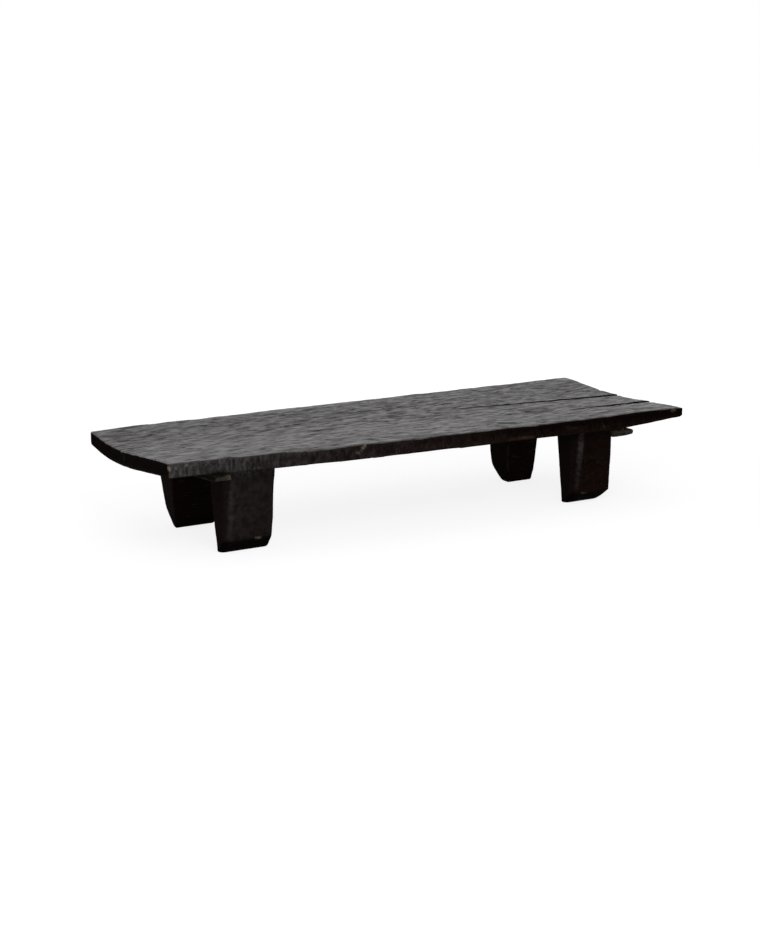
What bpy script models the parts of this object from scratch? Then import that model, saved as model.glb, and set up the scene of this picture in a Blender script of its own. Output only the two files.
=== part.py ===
"""A low carved bed: a dished deck and four block legs cut from one log, with two pegged cross battens below.

The bed stands on its soles at Z = 0. X runs along the bed, Y across it with the front at -Y, and the deck's
middle is over the origin.
"""

import math
from typing import NamedTuple

import bpy

# Deck, in metres
DECK_LENGTH = 2.000
DECK_LEFT_WIDTH = 0.662
DECK_MIDDLE_WIDTH = 0.706
DECK_RIGHT_WIDTH = 0.714
RIM_HEIGHT = 0.340
DECK_EDGE_THICKNESS = 0.050
LEFT_DISH_DEPTH = 0.022
RIGHT_DISH_DEPTH = 0.013
LEFT_BELLY_DEPTH = 0.030
RIGHT_BELLY_DEPTH = 0.047
BELLY_POWER = 1.35
# At the left end the hollow and the belly lie this share of the half width towards the back
LEFT_HOLLOW_SHIFT = 0.30
# The front-left and back-right corners stand this much above the mean rim
DECK_WIND = 0.006
LEFT_END_THINNING = 0.005
RIGHT_END_THINNING = 0.019
END_TAPER_LENGTH = 0.320
CORNER_RADIUS = 0.012
RIM_ARRIS = 0.004
LOWER_ARRIS = 0.010


class Leg(NamedTuple):
    """One block leg, hewn by eye, so no two are quite alike. Sides are named as seen from the front."""

    # Where its outer face looks: -1 to the front, 1 to the back
    out: int
    # The end of the bed that it is near: -1 left, 1 right
    end: int
    # From that end of the deck to the foot, and the foot's length along the bed
    overhang: float
    foot_length: float
    # How far each side leans outwards from the foot up to the deck
    left_batter: float
    right_batter: float
    # From the bed's middle line to the inner face
    inner: float
    # From the deck's long edge to the outer face under the deck, and the leg's depth above the sole's bevel
    setback: float
    ankle_depth: float
    # Below 1 the outer face swells as the log does, and at 1 it is straight
    swell: float
    # Flats along the outer corners, the cut under the foot's right corner, and the sole's depth across the bed
    left_chamfer: float
    right_chamfer: float
    foot_corner: float
    sole_depth: float


LEGS = {
    "front_left_leg": Leg(
        out=-1,
        end=-1,
        overhang=0.229,
        foot_length=0.174,
        left_batter=0.024,
        right_batter=-0.019,
        inner=0.161,
        setback=0.049,
        ankle_depth=0.066,
        swell=0.95,
        left_chamfer=0.022,
        right_chamfer=0.008,
        foot_corner=0.004,
        sole_depth=0.024,
    ),
    "back_left_leg": Leg(
        out=1,
        end=-1,
        overhang=0.227,
        foot_length=0.153,
        left_batter=0.014,
        right_batter=0.010,
        inner=0.175,
        setback=0.023,
        ankle_depth=0.077,
        swell=0.65,
        left_chamfer=0.008,
        right_chamfer=0.020,
        foot_corner=0.010,
        sole_depth=0.016,
    ),
    "front_right_leg": Leg(
        out=-1,
        end=1,
        overhang=0.252,
        foot_length=0.162,
        left_batter=0.030,
        right_batter=-0.026,
        inner=0.186,
        setback=0.055,
        ankle_depth=0.082,
        swell=0.90,
        left_chamfer=0.026,
        right_chamfer=0.008,
        foot_corner=0.026,
        sole_depth=0.024,
    ),
    "back_right_leg": Leg(
        out=1,
        end=1,
        overhang=0.288,
        foot_length=0.118,
        left_batter=0.000,
        right_batter=0.034,
        inner=0.163,
        setback=0.038,
        ankle_depth=0.114,
        swell=0.55,
        left_chamfer=0.008,
        right_chamfer=0.015,
        foot_corner=0.008,
        sole_depth=0.042,
    ),
}
SOLE_BEVEL_HEIGHT = 0.044
LEG_FILLET = 0.010
# The fillet runs this far into the deck, so that it meets the belly at an angle
LEG_BITE = 0.002

# Battens. The left one stands out past the deck's edges, and the right one stops short of them
LEFT_BATTEN_STANDOUT = 0.040
LEFT_BATTEN_WIDTH = 0.055
LEFT_BATTEN_THICKNESS = 0.024
LEFT_BATTEN_HOUSING = 0.004
LEFT_BATTEN_SHAVE = 0.006
LEFT_BATTEN_SHAVE_LENGTH = 0.050
RIGHT_BATTEN_SETBACK = 0.108
RIGHT_BATTEN_WIDTH = 0.106
RIGHT_BATTEN_THICKNESS = 0.024
RIGHT_BATTEN_HOUSING = 0.002
RIGHT_BATTEN_EDGE = 0.006
BATTEN_ARRIS = 0.003
BATTEN_LEG_GAP = 0.002

# Pegs, at these shares of the batten's half length from its middle
PEG_TIP_RADIUS = 0.0055
PEG_BUTT_RADIUS = 0.0070
PEG_BITE = 0.022
PEG_STANDOUT = 0.004
PEG_ARRIS = 0.0015
LEFT_PEG_PLACES = (-0.66, -0.20, 0.20, 0.66)
RIGHT_PEG_PLACES = (-0.74, -0.24, 0.24, 0.74)

# Fits
SEAT_GAP = 0.0003
PEG_TIP_GAP = 0.0006

# Facets
DECK_STATIONS = 22
CORNER_STEPS = 3
TOP_STEPS = 14
BELLY_STEPS = 12
ARRIS_STEPS = 3
LEG_STEPS = 6
FILLET_STEPS = 4
BATTEN_STEPS = 18
PEG_SIDES = 12

BED_COLOUR = (0.022, 0.017, 0.015)
BATTEN_COLOUR = (0.110, 0.092, 0.076)
PEG_COLOUR = (0.075, 0.055, 0.042)
BED_ROUGHNESS = 0.48
BATTEN_ROUGHNESS = 0.72
PEG_ROUGHNESS = 0.66

HALF_LENGTH = DECK_LENGTH / 2


def clear_scene():
    """Removes every object that the file starts with."""
    for old in list(bpy.data.objects):
        bpy.data.objects.remove(old, do_unlink=True)


def wood(name, colour, roughness):
    """A plain wood material."""
    material = bpy.data.materials.new(name)
    material.use_nodes = True
    shader = material.node_tree.nodes["Principled BSDF"]
    shader.inputs["Base Color"].default_value = (*colour, 1.0)
    shader.inputs["Roughness"].default_value = roughness
    shader.inputs["Metallic"].default_value = 0.0
    return material


def loft(name, rings, material):
    """A closed body of triangles through equal rings of points, with a flat cap on the first and on the last."""
    count = len(rings[0])
    points = [point for ring in rings for point in ring]
    faces = [tuple(reversed(range(count)))]
    for low in range(0, len(points) - count, count):
        for step in range(count):
            after = (step + 1) % count
            faces.append((low + step, low + after, low + count + after))
            faces.append((low + step, low + count + after, low + count + step))
    faces.append(tuple(range(len(points) - count, len(points))))
    mesh = bpy.data.meshes.new(name)
    mesh.from_pydata(points, [], faces)
    mesh.validate()
    mesh.materials.append(material)
    mesh.shade_smooth()
    mesh.set_sharp_from_angle(angle=math.radians(35))
    body = bpy.data.objects.new(name, mesh)
    bpy.context.scene.collection.objects.link(body)
    return body


def combine(target, tool, operation):
    """Joins a hidden tool body to the target, or cuts the target with it."""
    tool.hide_render = True
    tool.display_type = "WIRE"
    modifier = target.modifiers.new(tool.name, "BOOLEAN")
    modifier.operation = operation
    modifier.solver = "EXACT"
    modifier.object = tool


def smooth_step(share):
    """An S-curve from 0 to 1."""
    share = min(max(share, 0.0), 1.0)
    return share * share * (3 - 2 * share)


def half_width(x):
    """Half the deck's width: it widens from the left end to the right, and its edges bow a little."""
    along = x / HALF_LENGTH
    slope = (DECK_RIGHT_WIDTH - DECK_LEFT_WIDTH) / 2
    bow = (DECK_RIGHT_WIDTH + DECK_LEFT_WIDTH) / 2 - DECK_MIDDLE_WIDTH
    return (DECK_MIDDLE_WIDTH + slope * along + bow * along * along) / 2


def rim(x, across):
    """The height of the deck's rim line, with the wind that seasoning left in the log."""
    return RIM_HEIGHT + DECK_WIND * x / HALF_LENGTH * across


def edge_thickness(x):
    """The deck's thickness at its long edges, thinner towards both ends."""
    left = smooth_step((-x - HALF_LENGTH + END_TAPER_LENGTH) / END_TAPER_LENGTH)
    right = smooth_step((x - HALF_LENGTH + END_TAPER_LENGTH) / END_TAPER_LENGTH)
    return DECK_EDGE_THICKNESS - LEFT_END_THINNING * left - RIGHT_END_THINNING * right


def between_ends(x, left, right):
    """A value that runs evenly from one at the left end to one at the right end."""
    return left + (right - left) * (x / HALF_LENGTH + 1) / 2


def hollow(x, across):
    """The place across the deck as the hollow and the belly have it: 0 in their middle and 1 at each edge."""
    shift = between_ends(x, LEFT_HOLLOW_SHIFT, 0.0)
    return (across - shift) / (1 - shift * across)


def deck_top(x, y):
    """The dished upper face: flat at the rim and hollowed between."""
    across = y / half_width(x)
    dish = between_ends(x, LEFT_DISH_DEPTH, RIGHT_DISH_DEPTH)
    return rim(x, across) - dish * max(0.0, 1 - hollow(x, across) ** 2) ** 2


def underside(x, y):
    """The bellied lower face. Past the edges it runs on level."""
    across = min(max(y / half_width(x), -1.0), 1.0)
    belly = between_ends(x, LEFT_BELLY_DEPTH, RIGHT_BELLY_DEPTH)
    return rim(x, across) - edge_thickness(x) - belly * (1 - hollow(x, across) ** 2) ** BELLY_POWER


def plan_inset(x):
    """How far the plan's round corners draw the edges in near each end."""
    into_corner = max(0.0, abs(x) - HALF_LENGTH + CORNER_RADIUS)
    return CORNER_RADIUS - math.sqrt(max(0.0, CORNER_RADIUS**2 - into_corner**2))


def deck_ring(x):
    """One cross-section of the deck, anticlockwise seen from the right end."""
    edge = half_width(x) - plan_inset(x)
    inner = edge - LOWER_ARRIS
    section = []
    for step in range(BELLY_STEPS + 1):
        y = inner * (2 * step / BELLY_STEPS - 1)
        section.append((y, underside(x, y)))
    low = underside(x, inner)
    for step in range(1, ARRIS_STEPS + 1):
        turn = math.pi / 2 * step / ARRIS_STEPS
        section.append((inner + LOWER_ARRIS * math.sin(turn), low + LOWER_ARRIS * (1 - math.cos(turn))))
    section.append((edge, deck_top(x, edge - RIM_ARRIS) - RIM_ARRIS))
    for step in range(TOP_STEPS + 1):
        y = (edge - RIM_ARRIS) * (1 - 2 * step / TOP_STEPS)
        section.append((y, deck_top(x, y)))
    section.append((-edge, deck_top(x, RIM_ARRIS - edge) - RIM_ARRIS))
    low = underside(x, -inner)
    for step in range(ARRIS_STEPS, 0, -1):
        turn = math.pi / 2 * step / ARRIS_STEPS
        section.append((-inner - LOWER_ARRIS * math.sin(turn), low + LOWER_ARRIS * (1 - math.cos(turn))))
    return [(x, y, z) for y, z in section]


def deck_stations():
    """Where along the bed the deck's sections lie, closer together round the corners."""
    corner = [
        CORNER_RADIUS * math.sin(math.pi / 2 * step / (CORNER_STEPS + 1)) for step in range(CORNER_STEPS + 1)
    ]
    straight = HALF_LENGTH - CORNER_RADIUS
    between = [straight * (2 * step / DECK_STATIONS - 1) for step in range(1, DECK_STATIONS)]
    right = [straight + into for into in corner]
    return [-x for x in reversed(right)] + between + right


def end_ring(ring, towards):
    """The face of a deck end: the last section, eased by the rim's arris on all sides."""
    y_reach = max(abs(y) for _, y, _ in ring)
    heights = [z for _, _, z in ring]
    middle = (max(heights) + min(heights)) / 2
    flat = 1 - RIM_ARRIS / y_reach
    thin = 1 - 2 * RIM_ARRIS / (max(heights) - min(heights))
    return [(towards * HALF_LENGTH, y * flat, middle + (z - middle) * thin) for _, y, z in ring]


def make_deck(material):
    """The dished plank."""
    rings = [deck_ring(x) for x in deck_stations()]
    return loft("carved_bed", [end_ring(rings[0], -1), *rings, end_ring(rings[-1], 1)], material)


def foot_sides(leg):
    """The left and right sides of a leg at its foot, along the bed."""
    near_end = leg.end * (HALF_LENGTH - leg.overhang)
    far = near_end - leg.end * leg.foot_length
    return min(near_end, far), max(near_end, far)


def deck_sides(leg):
    """The left and right sides of a leg where it meets the deck."""
    left, right = foot_sides(leg)
    return left - leg.left_batter, right + leg.right_batter


def top_depth(leg):
    """A leg's depth across the bed under the deck, out to its setback behind the deck's edge."""
    return half_width(sum(foot_sides(leg)) / 2) - leg.setback - leg.inner


def leg_section(leg, height, top, flare):
    """A section of a leg at one height: six corners in plan, the outer two cut flat, grown by the flare."""
    rise = height / top
    left, right = foot_sides(leg)
    left -= leg.left_batter * rise
    right += leg.right_batter * rise
    if height < SOLE_BEVEL_HEIGHT:
        bevel = height / SOLE_BEVEL_HEIGHT
        depth = leg.sole_depth + (leg.ankle_depth - leg.sole_depth) * bevel
        right -= leg.foot_corner * (1 - bevel)
    else:
        above = (height - SOLE_BEVEL_HEIGHT) / (top - SOLE_BEVEL_HEIGHT)
        depth = leg.ankle_depth + (top_depth(leg) - leg.ankle_depth) * above**leg.swell
    most_chamfer = depth / 2
    left_flat = min(leg.left_chamfer, most_chamfer)
    right_flat = min(leg.right_chamfer, most_chamfer)
    near = leg.inner - flare
    far = leg.inner + depth + flare
    left -= flare
    right += flare
    return [
        (left, near),
        (right, near),
        (right, far - right_flat),
        (right - right_flat, far),
        (left + left_flat, far),
        (left, far - left_flat),
    ]


def make_leg(name, leg, material):
    """One block leg, from its flat sole to a root inside the deck. Its upper sections follow the belly."""
    middle = sum(foot_sides(leg)) / 2
    top = underside(middle, leg.out * leg.inner) + LEG_BITE
    shank = top - LEG_FILLET - SOLE_BEVEL_HEIGHT
    levels = [(0.0, 0.0)]
    levels += [(SOLE_BEVEL_HEIGHT + shank * step / LEG_STEPS, 0.0) for step in range(LEG_STEPS + 1)]
    for step in range(1, FILLET_STEPS + 1):
        turn = math.pi / 2 * step / FILLET_STEPS
        levels.append((top - LEG_FILLET * (1 - math.sin(turn)), LEG_FILLET * (1 - math.cos(turn))))
    rings = []
    for height, flare in levels:
        section = [(x, leg.out * y) for x, y in leg_section(leg, height, top, flare)]
        rings.append([(x, y, height + (underside(x, y) + LEG_BITE - top) * height / top) for x, y in section])
    rings.append([(x, y, (underside(x, y) + deck_top(x, y)) / 2) for x, y, _ in rings[-1]])
    if leg.out < 0:
        rings = [ring[::-1] for ring in rings]
    return loft(name, rings, material)


def batten_middles():
    """The middles of both battens along the bed: each lies close outside its pair of legs."""
    left_reach = min(deck_sides(leg)[0] for leg in LEGS.values())
    right_reach = max(deck_sides(leg)[1] for leg in LEGS.values())
    clear = LEG_FILLET + BATTEN_LEG_GAP
    return left_reach - clear - LEFT_BATTEN_WIDTH / 2, right_reach + clear + RIGHT_BATTEN_WIDTH / 2


def left_batten_top(x, y):
    """The scribed upper face of the left batten, let into the belly and parallel to it."""
    return underside(x, y) + LEFT_BATTEN_HOUSING


def make_left_batten(middle, reach, material):
    """The left batten: a strip that follows the belly, its standing-out ends shaved thinner from below."""
    half = LEFT_BATTEN_WIDTH / 2
    rings = []
    for step in range(BATTEN_STEPS + 1):
        y = reach * (2 * step / BATTEN_STEPS - 1)
        from_end = reach - abs(y)
        shave = LEFT_BATTEN_SHAVE * (1 - smooth_step(from_end / LEFT_BATTEN_SHAVE_LENGTH))
        top = left_batten_top(middle, y)
        low = top - LEFT_BATTEN_THICKNESS + shave
        section = [
            (-half, top),
            (-half, low + BATTEN_ARRIS),
            (-half + BATTEN_ARRIS, low),
            (half - BATTEN_ARRIS, low),
            (half, low + BATTEN_ARRIS),
            (half, top),
        ]
        rings.append([(middle + x, y, z) for x, z in reversed(section)])
    return loft("left_batten", rings, material)


def right_batten_top(middle):
    """The flat upper face of the right batten, let into the lowest part of the belly only."""
    return underside(middle, 0.0) + RIGHT_BATTEN_HOUSING


def make_right_batten(middle, reach, material):
    """The right batten: a straight split slab, flat above and rounded below to thin side edges."""
    half = RIGHT_BATTEN_WIDTH / 2
    top = right_batten_top(middle)
    drop = RIGHT_BATTEN_THICKNESS - RIGHT_BATTEN_EDGE
    section = [(half, top)]
    for step in range(BATTEN_STEPS // 2 + 1):
        across = 1 - 2 * step / (BATTEN_STEPS // 2)
        section.append((half * across, top - RIGHT_BATTEN_EDGE - drop * math.sqrt(1 - across * across)))
    section.append((-half, top))
    rings = [[(middle + x, y, z) for x, z in section] for y in (-reach, reach)]
    return loft("right_batten", rings, material)


def cut_housing(bed, batten, middle, reach, width, thickness, top_at, material):
    """Cuts the belly to take a batten, wider and deeper than it by the seat gap."""
    half = width / 2 + SEAT_GAP
    reach += SEAT_GAP
    rings = []
    for step in range(BATTEN_STEPS + 1):
        y = reach * (2 * step / BATTEN_STEPS - 1)
        top = top_at(y) + SEAT_GAP
        low = top - SEAT_GAP - thickness
        section = [(half, top), (half, low), (-half, low), (-half, top)]
        rings.append([(middle + x, y, z) for x, z in section])
    combine(bed, loft(f"{batten.name}_housing", rings, material), "DIFFERENCE")


def peg_rings(x, y, low, top, grow):
    """Rings of a tapered peg, driven upwards, with a worn butt. grow widens it into its hole."""
    length = top - low
    butt = PEG_BUTT_RADIUS + grow
    tip = PEG_TIP_RADIUS + grow
    ease = (butt - tip) * PEG_ARRIS / length
    profile = [
        (butt - PEG_ARRIS, low),
        (butt - ease, low + PEG_ARRIS),
        (tip + ease, top - PEG_ARRIS),
        (tip - PEG_ARRIS, top),
    ]
    rings = []
    for radius, height in profile:
        turns = [2 * math.pi * side / PEG_SIDES for side in range(PEG_SIDES)]
        rings.append([(x + radius * math.cos(turn), y + radius * math.sin(turn), height) for turn in turns])
    return rings


def peg_batten(bed, batten, middle, reach, thickness, places, top_at, material):
    """Drives a row of pegs up through a batten into the deck."""
    for number, place in enumerate(places, start=1):
        y = place * reach
        low = top_at(y) - thickness - PEG_STANDOUT
        top = top_at(y) + PEG_BITE
        name = f"{batten.name}_peg_{number}"
        loft(name, peg_rings(middle, y, low, top, 0.0), material)
        hole = loft(f"{name}_hole", peg_rings(middle, y, low, top + PEG_TIP_GAP, SEAT_GAP), material)
        combine(batten, hole, "DIFFERENCE")
        combine(bed, hole, "DIFFERENCE")


def make_bed(material):
    """The deck with its four legs, one body as the log was."""
    bed = make_deck(material)
    for name, leg in LEGS.items():
        combine(bed, make_leg(name, leg, material), "UNION")
    return bed


def fit_left_batten(bed, middle, batten_wood, peg_wood):
    """The left batten in its housing, with its pegs."""
    reach = half_width(middle) + LEFT_BATTEN_STANDOUT
    batten = make_left_batten(middle, reach, batten_wood)

    def top_at(y):
        return left_batten_top(middle, y)

    cut_housing(bed, batten, middle, reach, LEFT_BATTEN_WIDTH, LEFT_BATTEN_THICKNESS, top_at, batten_wood)
    peg_batten(bed, batten, middle, reach, LEFT_BATTEN_THICKNESS, LEFT_PEG_PLACES, top_at, peg_wood)


def fit_right_batten(bed, middle, batten_wood, peg_wood):
    """The right batten in its housing, with its pegs."""
    reach = half_width(middle) - RIGHT_BATTEN_SETBACK
    batten = make_right_batten(middle, reach, batten_wood)

    def top_at(_):
        return right_batten_top(middle)

    cut_housing(bed, batten, middle, reach, RIGHT_BATTEN_WIDTH, RIGHT_BATTEN_THICKNESS, top_at, batten_wood)
    peg_batten(bed, batten, middle, reach, RIGHT_BATTEN_THICKNESS, RIGHT_PEG_PLACES, top_at, peg_wood)


def build():
    """Makes every piece of the bed."""
    clear_scene()
    bed_wood = wood("bed_wood", BED_COLOUR, BED_ROUGHNESS)
    batten_wood = wood("batten_wood", BATTEN_COLOUR, BATTEN_ROUGHNESS)
    peg_wood = wood("peg_wood", PEG_COLOUR, PEG_ROUGHNESS)
    bed = make_bed(bed_wood)
    left, right = batten_middles()
    fit_left_batten(bed, left, batten_wood, peg_wood)
    fit_right_batten(bed, right, batten_wood, peg_wood)


build()
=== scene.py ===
"""The looks of a low carved bed: a worn, adzed deck on four block legs, with two pegged cross battens below.

The bed stands on Z = 0, in metres. X runs along the bed, and Y across it with the front at -Y.
"""

import functools
import logging
import math
from dataclasses import dataclass
from enum import Enum

import bmesh
import bpy
import numpy as np
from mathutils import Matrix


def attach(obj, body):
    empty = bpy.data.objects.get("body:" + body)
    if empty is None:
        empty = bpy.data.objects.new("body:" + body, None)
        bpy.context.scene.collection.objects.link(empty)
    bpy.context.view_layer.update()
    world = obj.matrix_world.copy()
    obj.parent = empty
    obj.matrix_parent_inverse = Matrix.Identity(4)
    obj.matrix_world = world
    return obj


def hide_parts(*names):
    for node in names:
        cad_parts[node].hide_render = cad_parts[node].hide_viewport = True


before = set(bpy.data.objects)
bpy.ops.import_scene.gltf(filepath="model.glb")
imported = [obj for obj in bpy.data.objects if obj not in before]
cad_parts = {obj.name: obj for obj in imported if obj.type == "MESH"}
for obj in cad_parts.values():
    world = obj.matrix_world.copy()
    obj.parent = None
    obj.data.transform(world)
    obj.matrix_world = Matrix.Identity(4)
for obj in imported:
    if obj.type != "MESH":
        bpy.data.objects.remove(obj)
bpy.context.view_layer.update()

log = logging.getLogger("carved_bed")

Point = tuple[float, float, float]
Colour = tuple[float, float, float]
Socket = bpy.types.NodeSocket
Paint = Socket | Colour
Amount = Socket | float

WORD = 0xFFFFFFFF
SHARE_BITS = 0xFFFFFF
COLUMN_PRIME = 374761393
ROW_PRIME = 668265263
SEED_PRIME = 982451653
FIRST_MIX = 1274126177
SECOND_MIX = 461845907
TINY = 1e-9
SHORTEST_EDGE = 1e-6
OWN_RIDGE = 0.6
CHIP_FULLNESS = 2.2
WHITE = (1.0, 1.0, 1.0, 1.0)


class Grain(Enum):
    """The way the wood's fibres run."""

    ALONG_BED = (1.0, 14.0, 14.0)
    ACROSS_BED = (14.0, 1.0, 14.0)
    UPRIGHT = (14.0, 14.0, 1.0)

    @property
    def axis(self) -> int:
        """The number of the axis that the fibres follow."""
        return self.value.index(1.0)


class Side(Enum):
    """The way out to the bed's front or back."""

    FRONT = -1
    BACK = 1


class End(Enum):
    """The way along to the bed's left or right end."""

    LEFT = -1
    RIGHT = 1


class Face(Enum):
    """The bed's two finishes, by the order of their material slots."""

    TOP = 0
    HEWN = 1


def chance(column: np.ndarray, row: np.ndarray, seed: int) -> np.ndarray:
    """Repeatable random shares, one for each whole-number cell.

    Args:
        column: The cells' places in the first direction.
        row: The cells' places in the second direction.
        seed: Picks one of many patterns.

    Returns:
        Shares between 0 and 1.
    """
    mixed = np.asarray(column).astype(np.int64) * COLUMN_PRIME + np.asarray(row).astype(np.int64) * ROW_PRIME
    mixed = (mixed + seed * SEED_PRIME) & WORD
    mixed = ((mixed ^ (mixed >> 13)) * FIRST_MIX) & WORD
    mixed = ((mixed ^ (mixed >> 16)) * SECOND_MIX) & WORD
    return ((mixed ^ (mixed >> 15)) & SHARE_BITS) / SHARE_BITS


def smooth(share: np.ndarray) -> np.ndarray:
    """An S-curve from 0 to 1."""
    share = np.clip(share, 0.0, 1.0)
    return share * share * (3 - 2 * share)


def drift(along: np.ndarray, across: np.ndarray, seed: int) -> np.ndarray:
    """A slow, smooth wander over a plane.

    Args:
        along: Places in the first direction, one wander to each whole number.
        across: Places in the second direction.
        seed: Picks one of many patterns.

    Returns:
        Heights between -1 and 1.
    """
    along, across = np.broadcast_arrays(np.asarray(along, float), np.asarray(across, float))
    column = np.floor(along)
    row = np.floor(across)
    into_column = smooth(along - column)
    into_row = smooth(across - row)
    low = chance(column, row, seed) * (1 - into_column) + chance(column + 1, row, seed) * into_column
    high = chance(column, row + 1, seed) * (1 - into_column) + chance(column + 1, row + 1, seed) * into_column
    return 2 * (low * (1 - into_row) + high * into_row) - 1


@dataclass(frozen=True)
class ToolMarks:
    """Overlapping strokes of a blade over a face, each a shallow hollow with a ridge to the next."""

    length: float
    width: float
    depth: float
    step: float
    seed: int
    stray_along: float = 0.7
    stray_across: float = 0.6
    ridge: float = 0.9
    mean_hollow: float = 0.25

    def strokes(self, along: np.ndarray, across: np.ndarray) -> tuple[np.ndarray, np.ndarray]:
        """Finds each point's stroke.

        Args:
            along: Places along the strokes, in metres.
            across: Places across the strokes, in metres.

        Returns:
            The squared distance from the stroke's middle, in strokes, and that stroke's own random share.
        """
        along = np.asarray(along) / self.length
        across = np.asarray(across) / self.width
        nearest = np.full(np.broadcast(along, across).shape, np.inf)
        share = np.zeros_like(nearest)
        for beside in (-1, 0, 1):
            row = np.floor(across) + beside
            shift = chance(row, row * 0, self.seed + 3)
            for ahead in (-1, 0, 1):
                column = np.floor(along + shift) + ahead
                middle = column + 0.5 + self.stray_along * (chance(column, row, self.seed) - 0.5) - shift
                line = row + 0.5 + self.stray_across * (chance(column, row, self.seed + 1) - 0.5)
                away = (along - middle) ** 2 + (across - line) ** 2
                share = np.where(away < nearest, chance(column, row, self.seed + 2), share)
                nearest = np.minimum(away, nearest)
        return nearest, share

    def rise(self, along: np.ndarray, across: np.ndarray) -> np.ndarray:
        """How far the cut face stands above its mean, in metres.

        Args:
            along: Places along the strokes, in metres.
            across: Places across the strokes, in metres.

        Returns:
            Heights, in metres.
        """
        hollow, share = self.strokes(along, across)
        return self.depth * (np.minimum(hollow, self.ridge) - self.mean_hollow) + self.step * (share - 0.5)


@dataclass(frozen=True)
class Ripple:
    """A slow rise and fall of a face or an outline."""

    rise: float
    length: float
    seed: int
    width: float = 1.0

    def height(self, along: np.ndarray, across: np.ndarray | float) -> np.ndarray:
        """How far the face stands above its mean, in metres."""
        return self.rise * drift(along / self.length, across / self.width, self.seed)


@dataclass(frozen=True)
class Hollow:
    """A worn place on the deck's top."""

    x: float
    y: float
    half_length: float
    half_width: float
    depth: float
    power: int

    def fall(self, x: np.ndarray, y: np.ndarray) -> np.ndarray:
        """How far the face lies below its surroundings, in metres."""
        along = ((x - self.x) / self.half_length) ** self.power
        return self.depth * np.exp(-along - ((y - self.y) / self.half_width) ** self.power)


@dataclass(frozen=True)
class Crack:
    """A drying crack in the deck that opens towards the right end."""

    tip_x: float
    tip_y: float
    end_y: float
    width: float
    depth: float
    lip: float
    seed: int
    end_x: float = 1.0
    quickness: float = 0.6
    hairline: float = 0.0006
    lip_reach: float = 0.050
    back_curl: float = 0.8
    front_curl: float = -0.5
    lane: float = 0.5

    def opening(self, x: np.ndarray) -> np.ndarray:
        """How open the crack is: 0 up to its tip, and 1 at the right end."""
        return np.clip((x - self.tip_x) / (self.end_x - self.tip_x), 0.0, 1.0) ** self.quickness

    def gape(self, x: np.ndarray) -> np.ndarray:
        """How much of its full width and depth the crack has, which comes soon behind the tip."""
        return self.opening(x) ** self.quickness

    def half_gap(self, x: np.ndarray) -> np.ndarray:
        """Half the crack's width, in metres."""
        return self.hairline + self.width / 2 * self.gape(x)

    def line(self, x: np.ndarray) -> np.ndarray:
        """The crack's path across the bed, which strays a little as the grain does.

        Args:
            x: Places along the bed.

        Returns:
            Places across it.
        """
        path = self.tip_y + (self.end_y - self.tip_y) * (x - self.tip_x) / (self.end_x - self.tip_x)
        straight = np.clip(path, min(self.tip_y, self.end_y), max(self.tip_y, self.end_y))
        sway = Ripple(0.004, 0.11, self.seed).height(x, self.lane)
        return straight + sway + Ripple(0.0015, 0.027, self.seed + 1).height(x, self.lane)

    def lift(self, x: np.ndarray, y: np.ndarray) -> np.ndarray:
        """How far the wood beside the crack has curled.

        Args:
            x: Places along the bed.
            y: Places across it.

        Returns:
            Heights, in metres.
        """
        beyond = y - self.line(x)
        near = np.exp(-np.abs(beyond) / self.lip_reach) * self.opening(x)
        return self.lip * near * np.where(beyond > 0, self.back_curl, self.front_curl)


@dataclass(frozen=True)
class Chip:
    """A small scar on the bed, where a splinter came away and paler wood shows."""

    place: Point
    radius: float
    depth: float
    inward: Point
    bare: float


@dataclass(frozen=True)
class Bite:
    """A place on the front rim where the adze went too deep."""

    x: float
    half_length: float
    depth: float


@dataclass(frozen=True)
class StripMask:
    """A strip from one place to another, flatter than it is wide. It marks strips rubbed paler by hands and feet,
    painted highlights along edges, and stains.
    """

    start: Point
    stop: Point
    radius: float
    share: float
    flatness: float = 2.5
    outer: float = 1.5
    fade: float = 0.9

    def cover(self, points: np.ndarray) -> np.ndarray:
        """How far each point lies within the strip.

        Args:
            points: One row for each point.

        Returns:
            Shares between 0 and 1.
        """
        run = np.subtract(self.stop, self.start)
        along = np.clip((points - self.start) @ run / (run @ run), 0.0, 1.0)
        apart = (points - self.start - along[:, None] * run) * (1.0, 1.0, self.flatness)
        away = np.linalg.norm(apart, axis=1)
        return self.share * smooth((self.outer - away / self.radius) / self.fade)


def link_body(name: str, mesh: bpy.types.Mesh) -> bpy.types.Object:
    """Puts a mesh into the scene as an object.

    Args:
        name: The object's name.
        mesh: Its mesh.

    Returns:
        The object.
    """
    body = bpy.data.objects.new(name, mesh)
    bpy.context.scene.collection.objects.link(body)
    return body


def make_mesh(name: str, points: np.ndarray, faces: list[list[int]]) -> bpy.types.Mesh:
    """A mesh of the points that its faces use, with every face turned outwards.

    Args:
        name: The mesh's name.
        points: One row for each point.
        faces: The points of each face, by row.

    Returns:
        The mesh.
    """
    used = np.unique(np.concatenate([np.asarray(face) for face in faces]))
    place = np.zeros(len(points), int)
    place[used] = np.arange(len(used))
    row = place.tolist()
    mesh = bpy.data.meshes.new(name)
    mesh.from_pydata(points[used].tolist(), [], [[row[index] for index in face] for face in faces])
    sheet = bmesh.new()
    sheet.from_mesh(mesh)
    bmesh.ops.recalc_face_normals(sheet, faces=sheet.faces)
    sheet.to_mesh(mesh)
    sheet.free()
    return mesh


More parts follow.
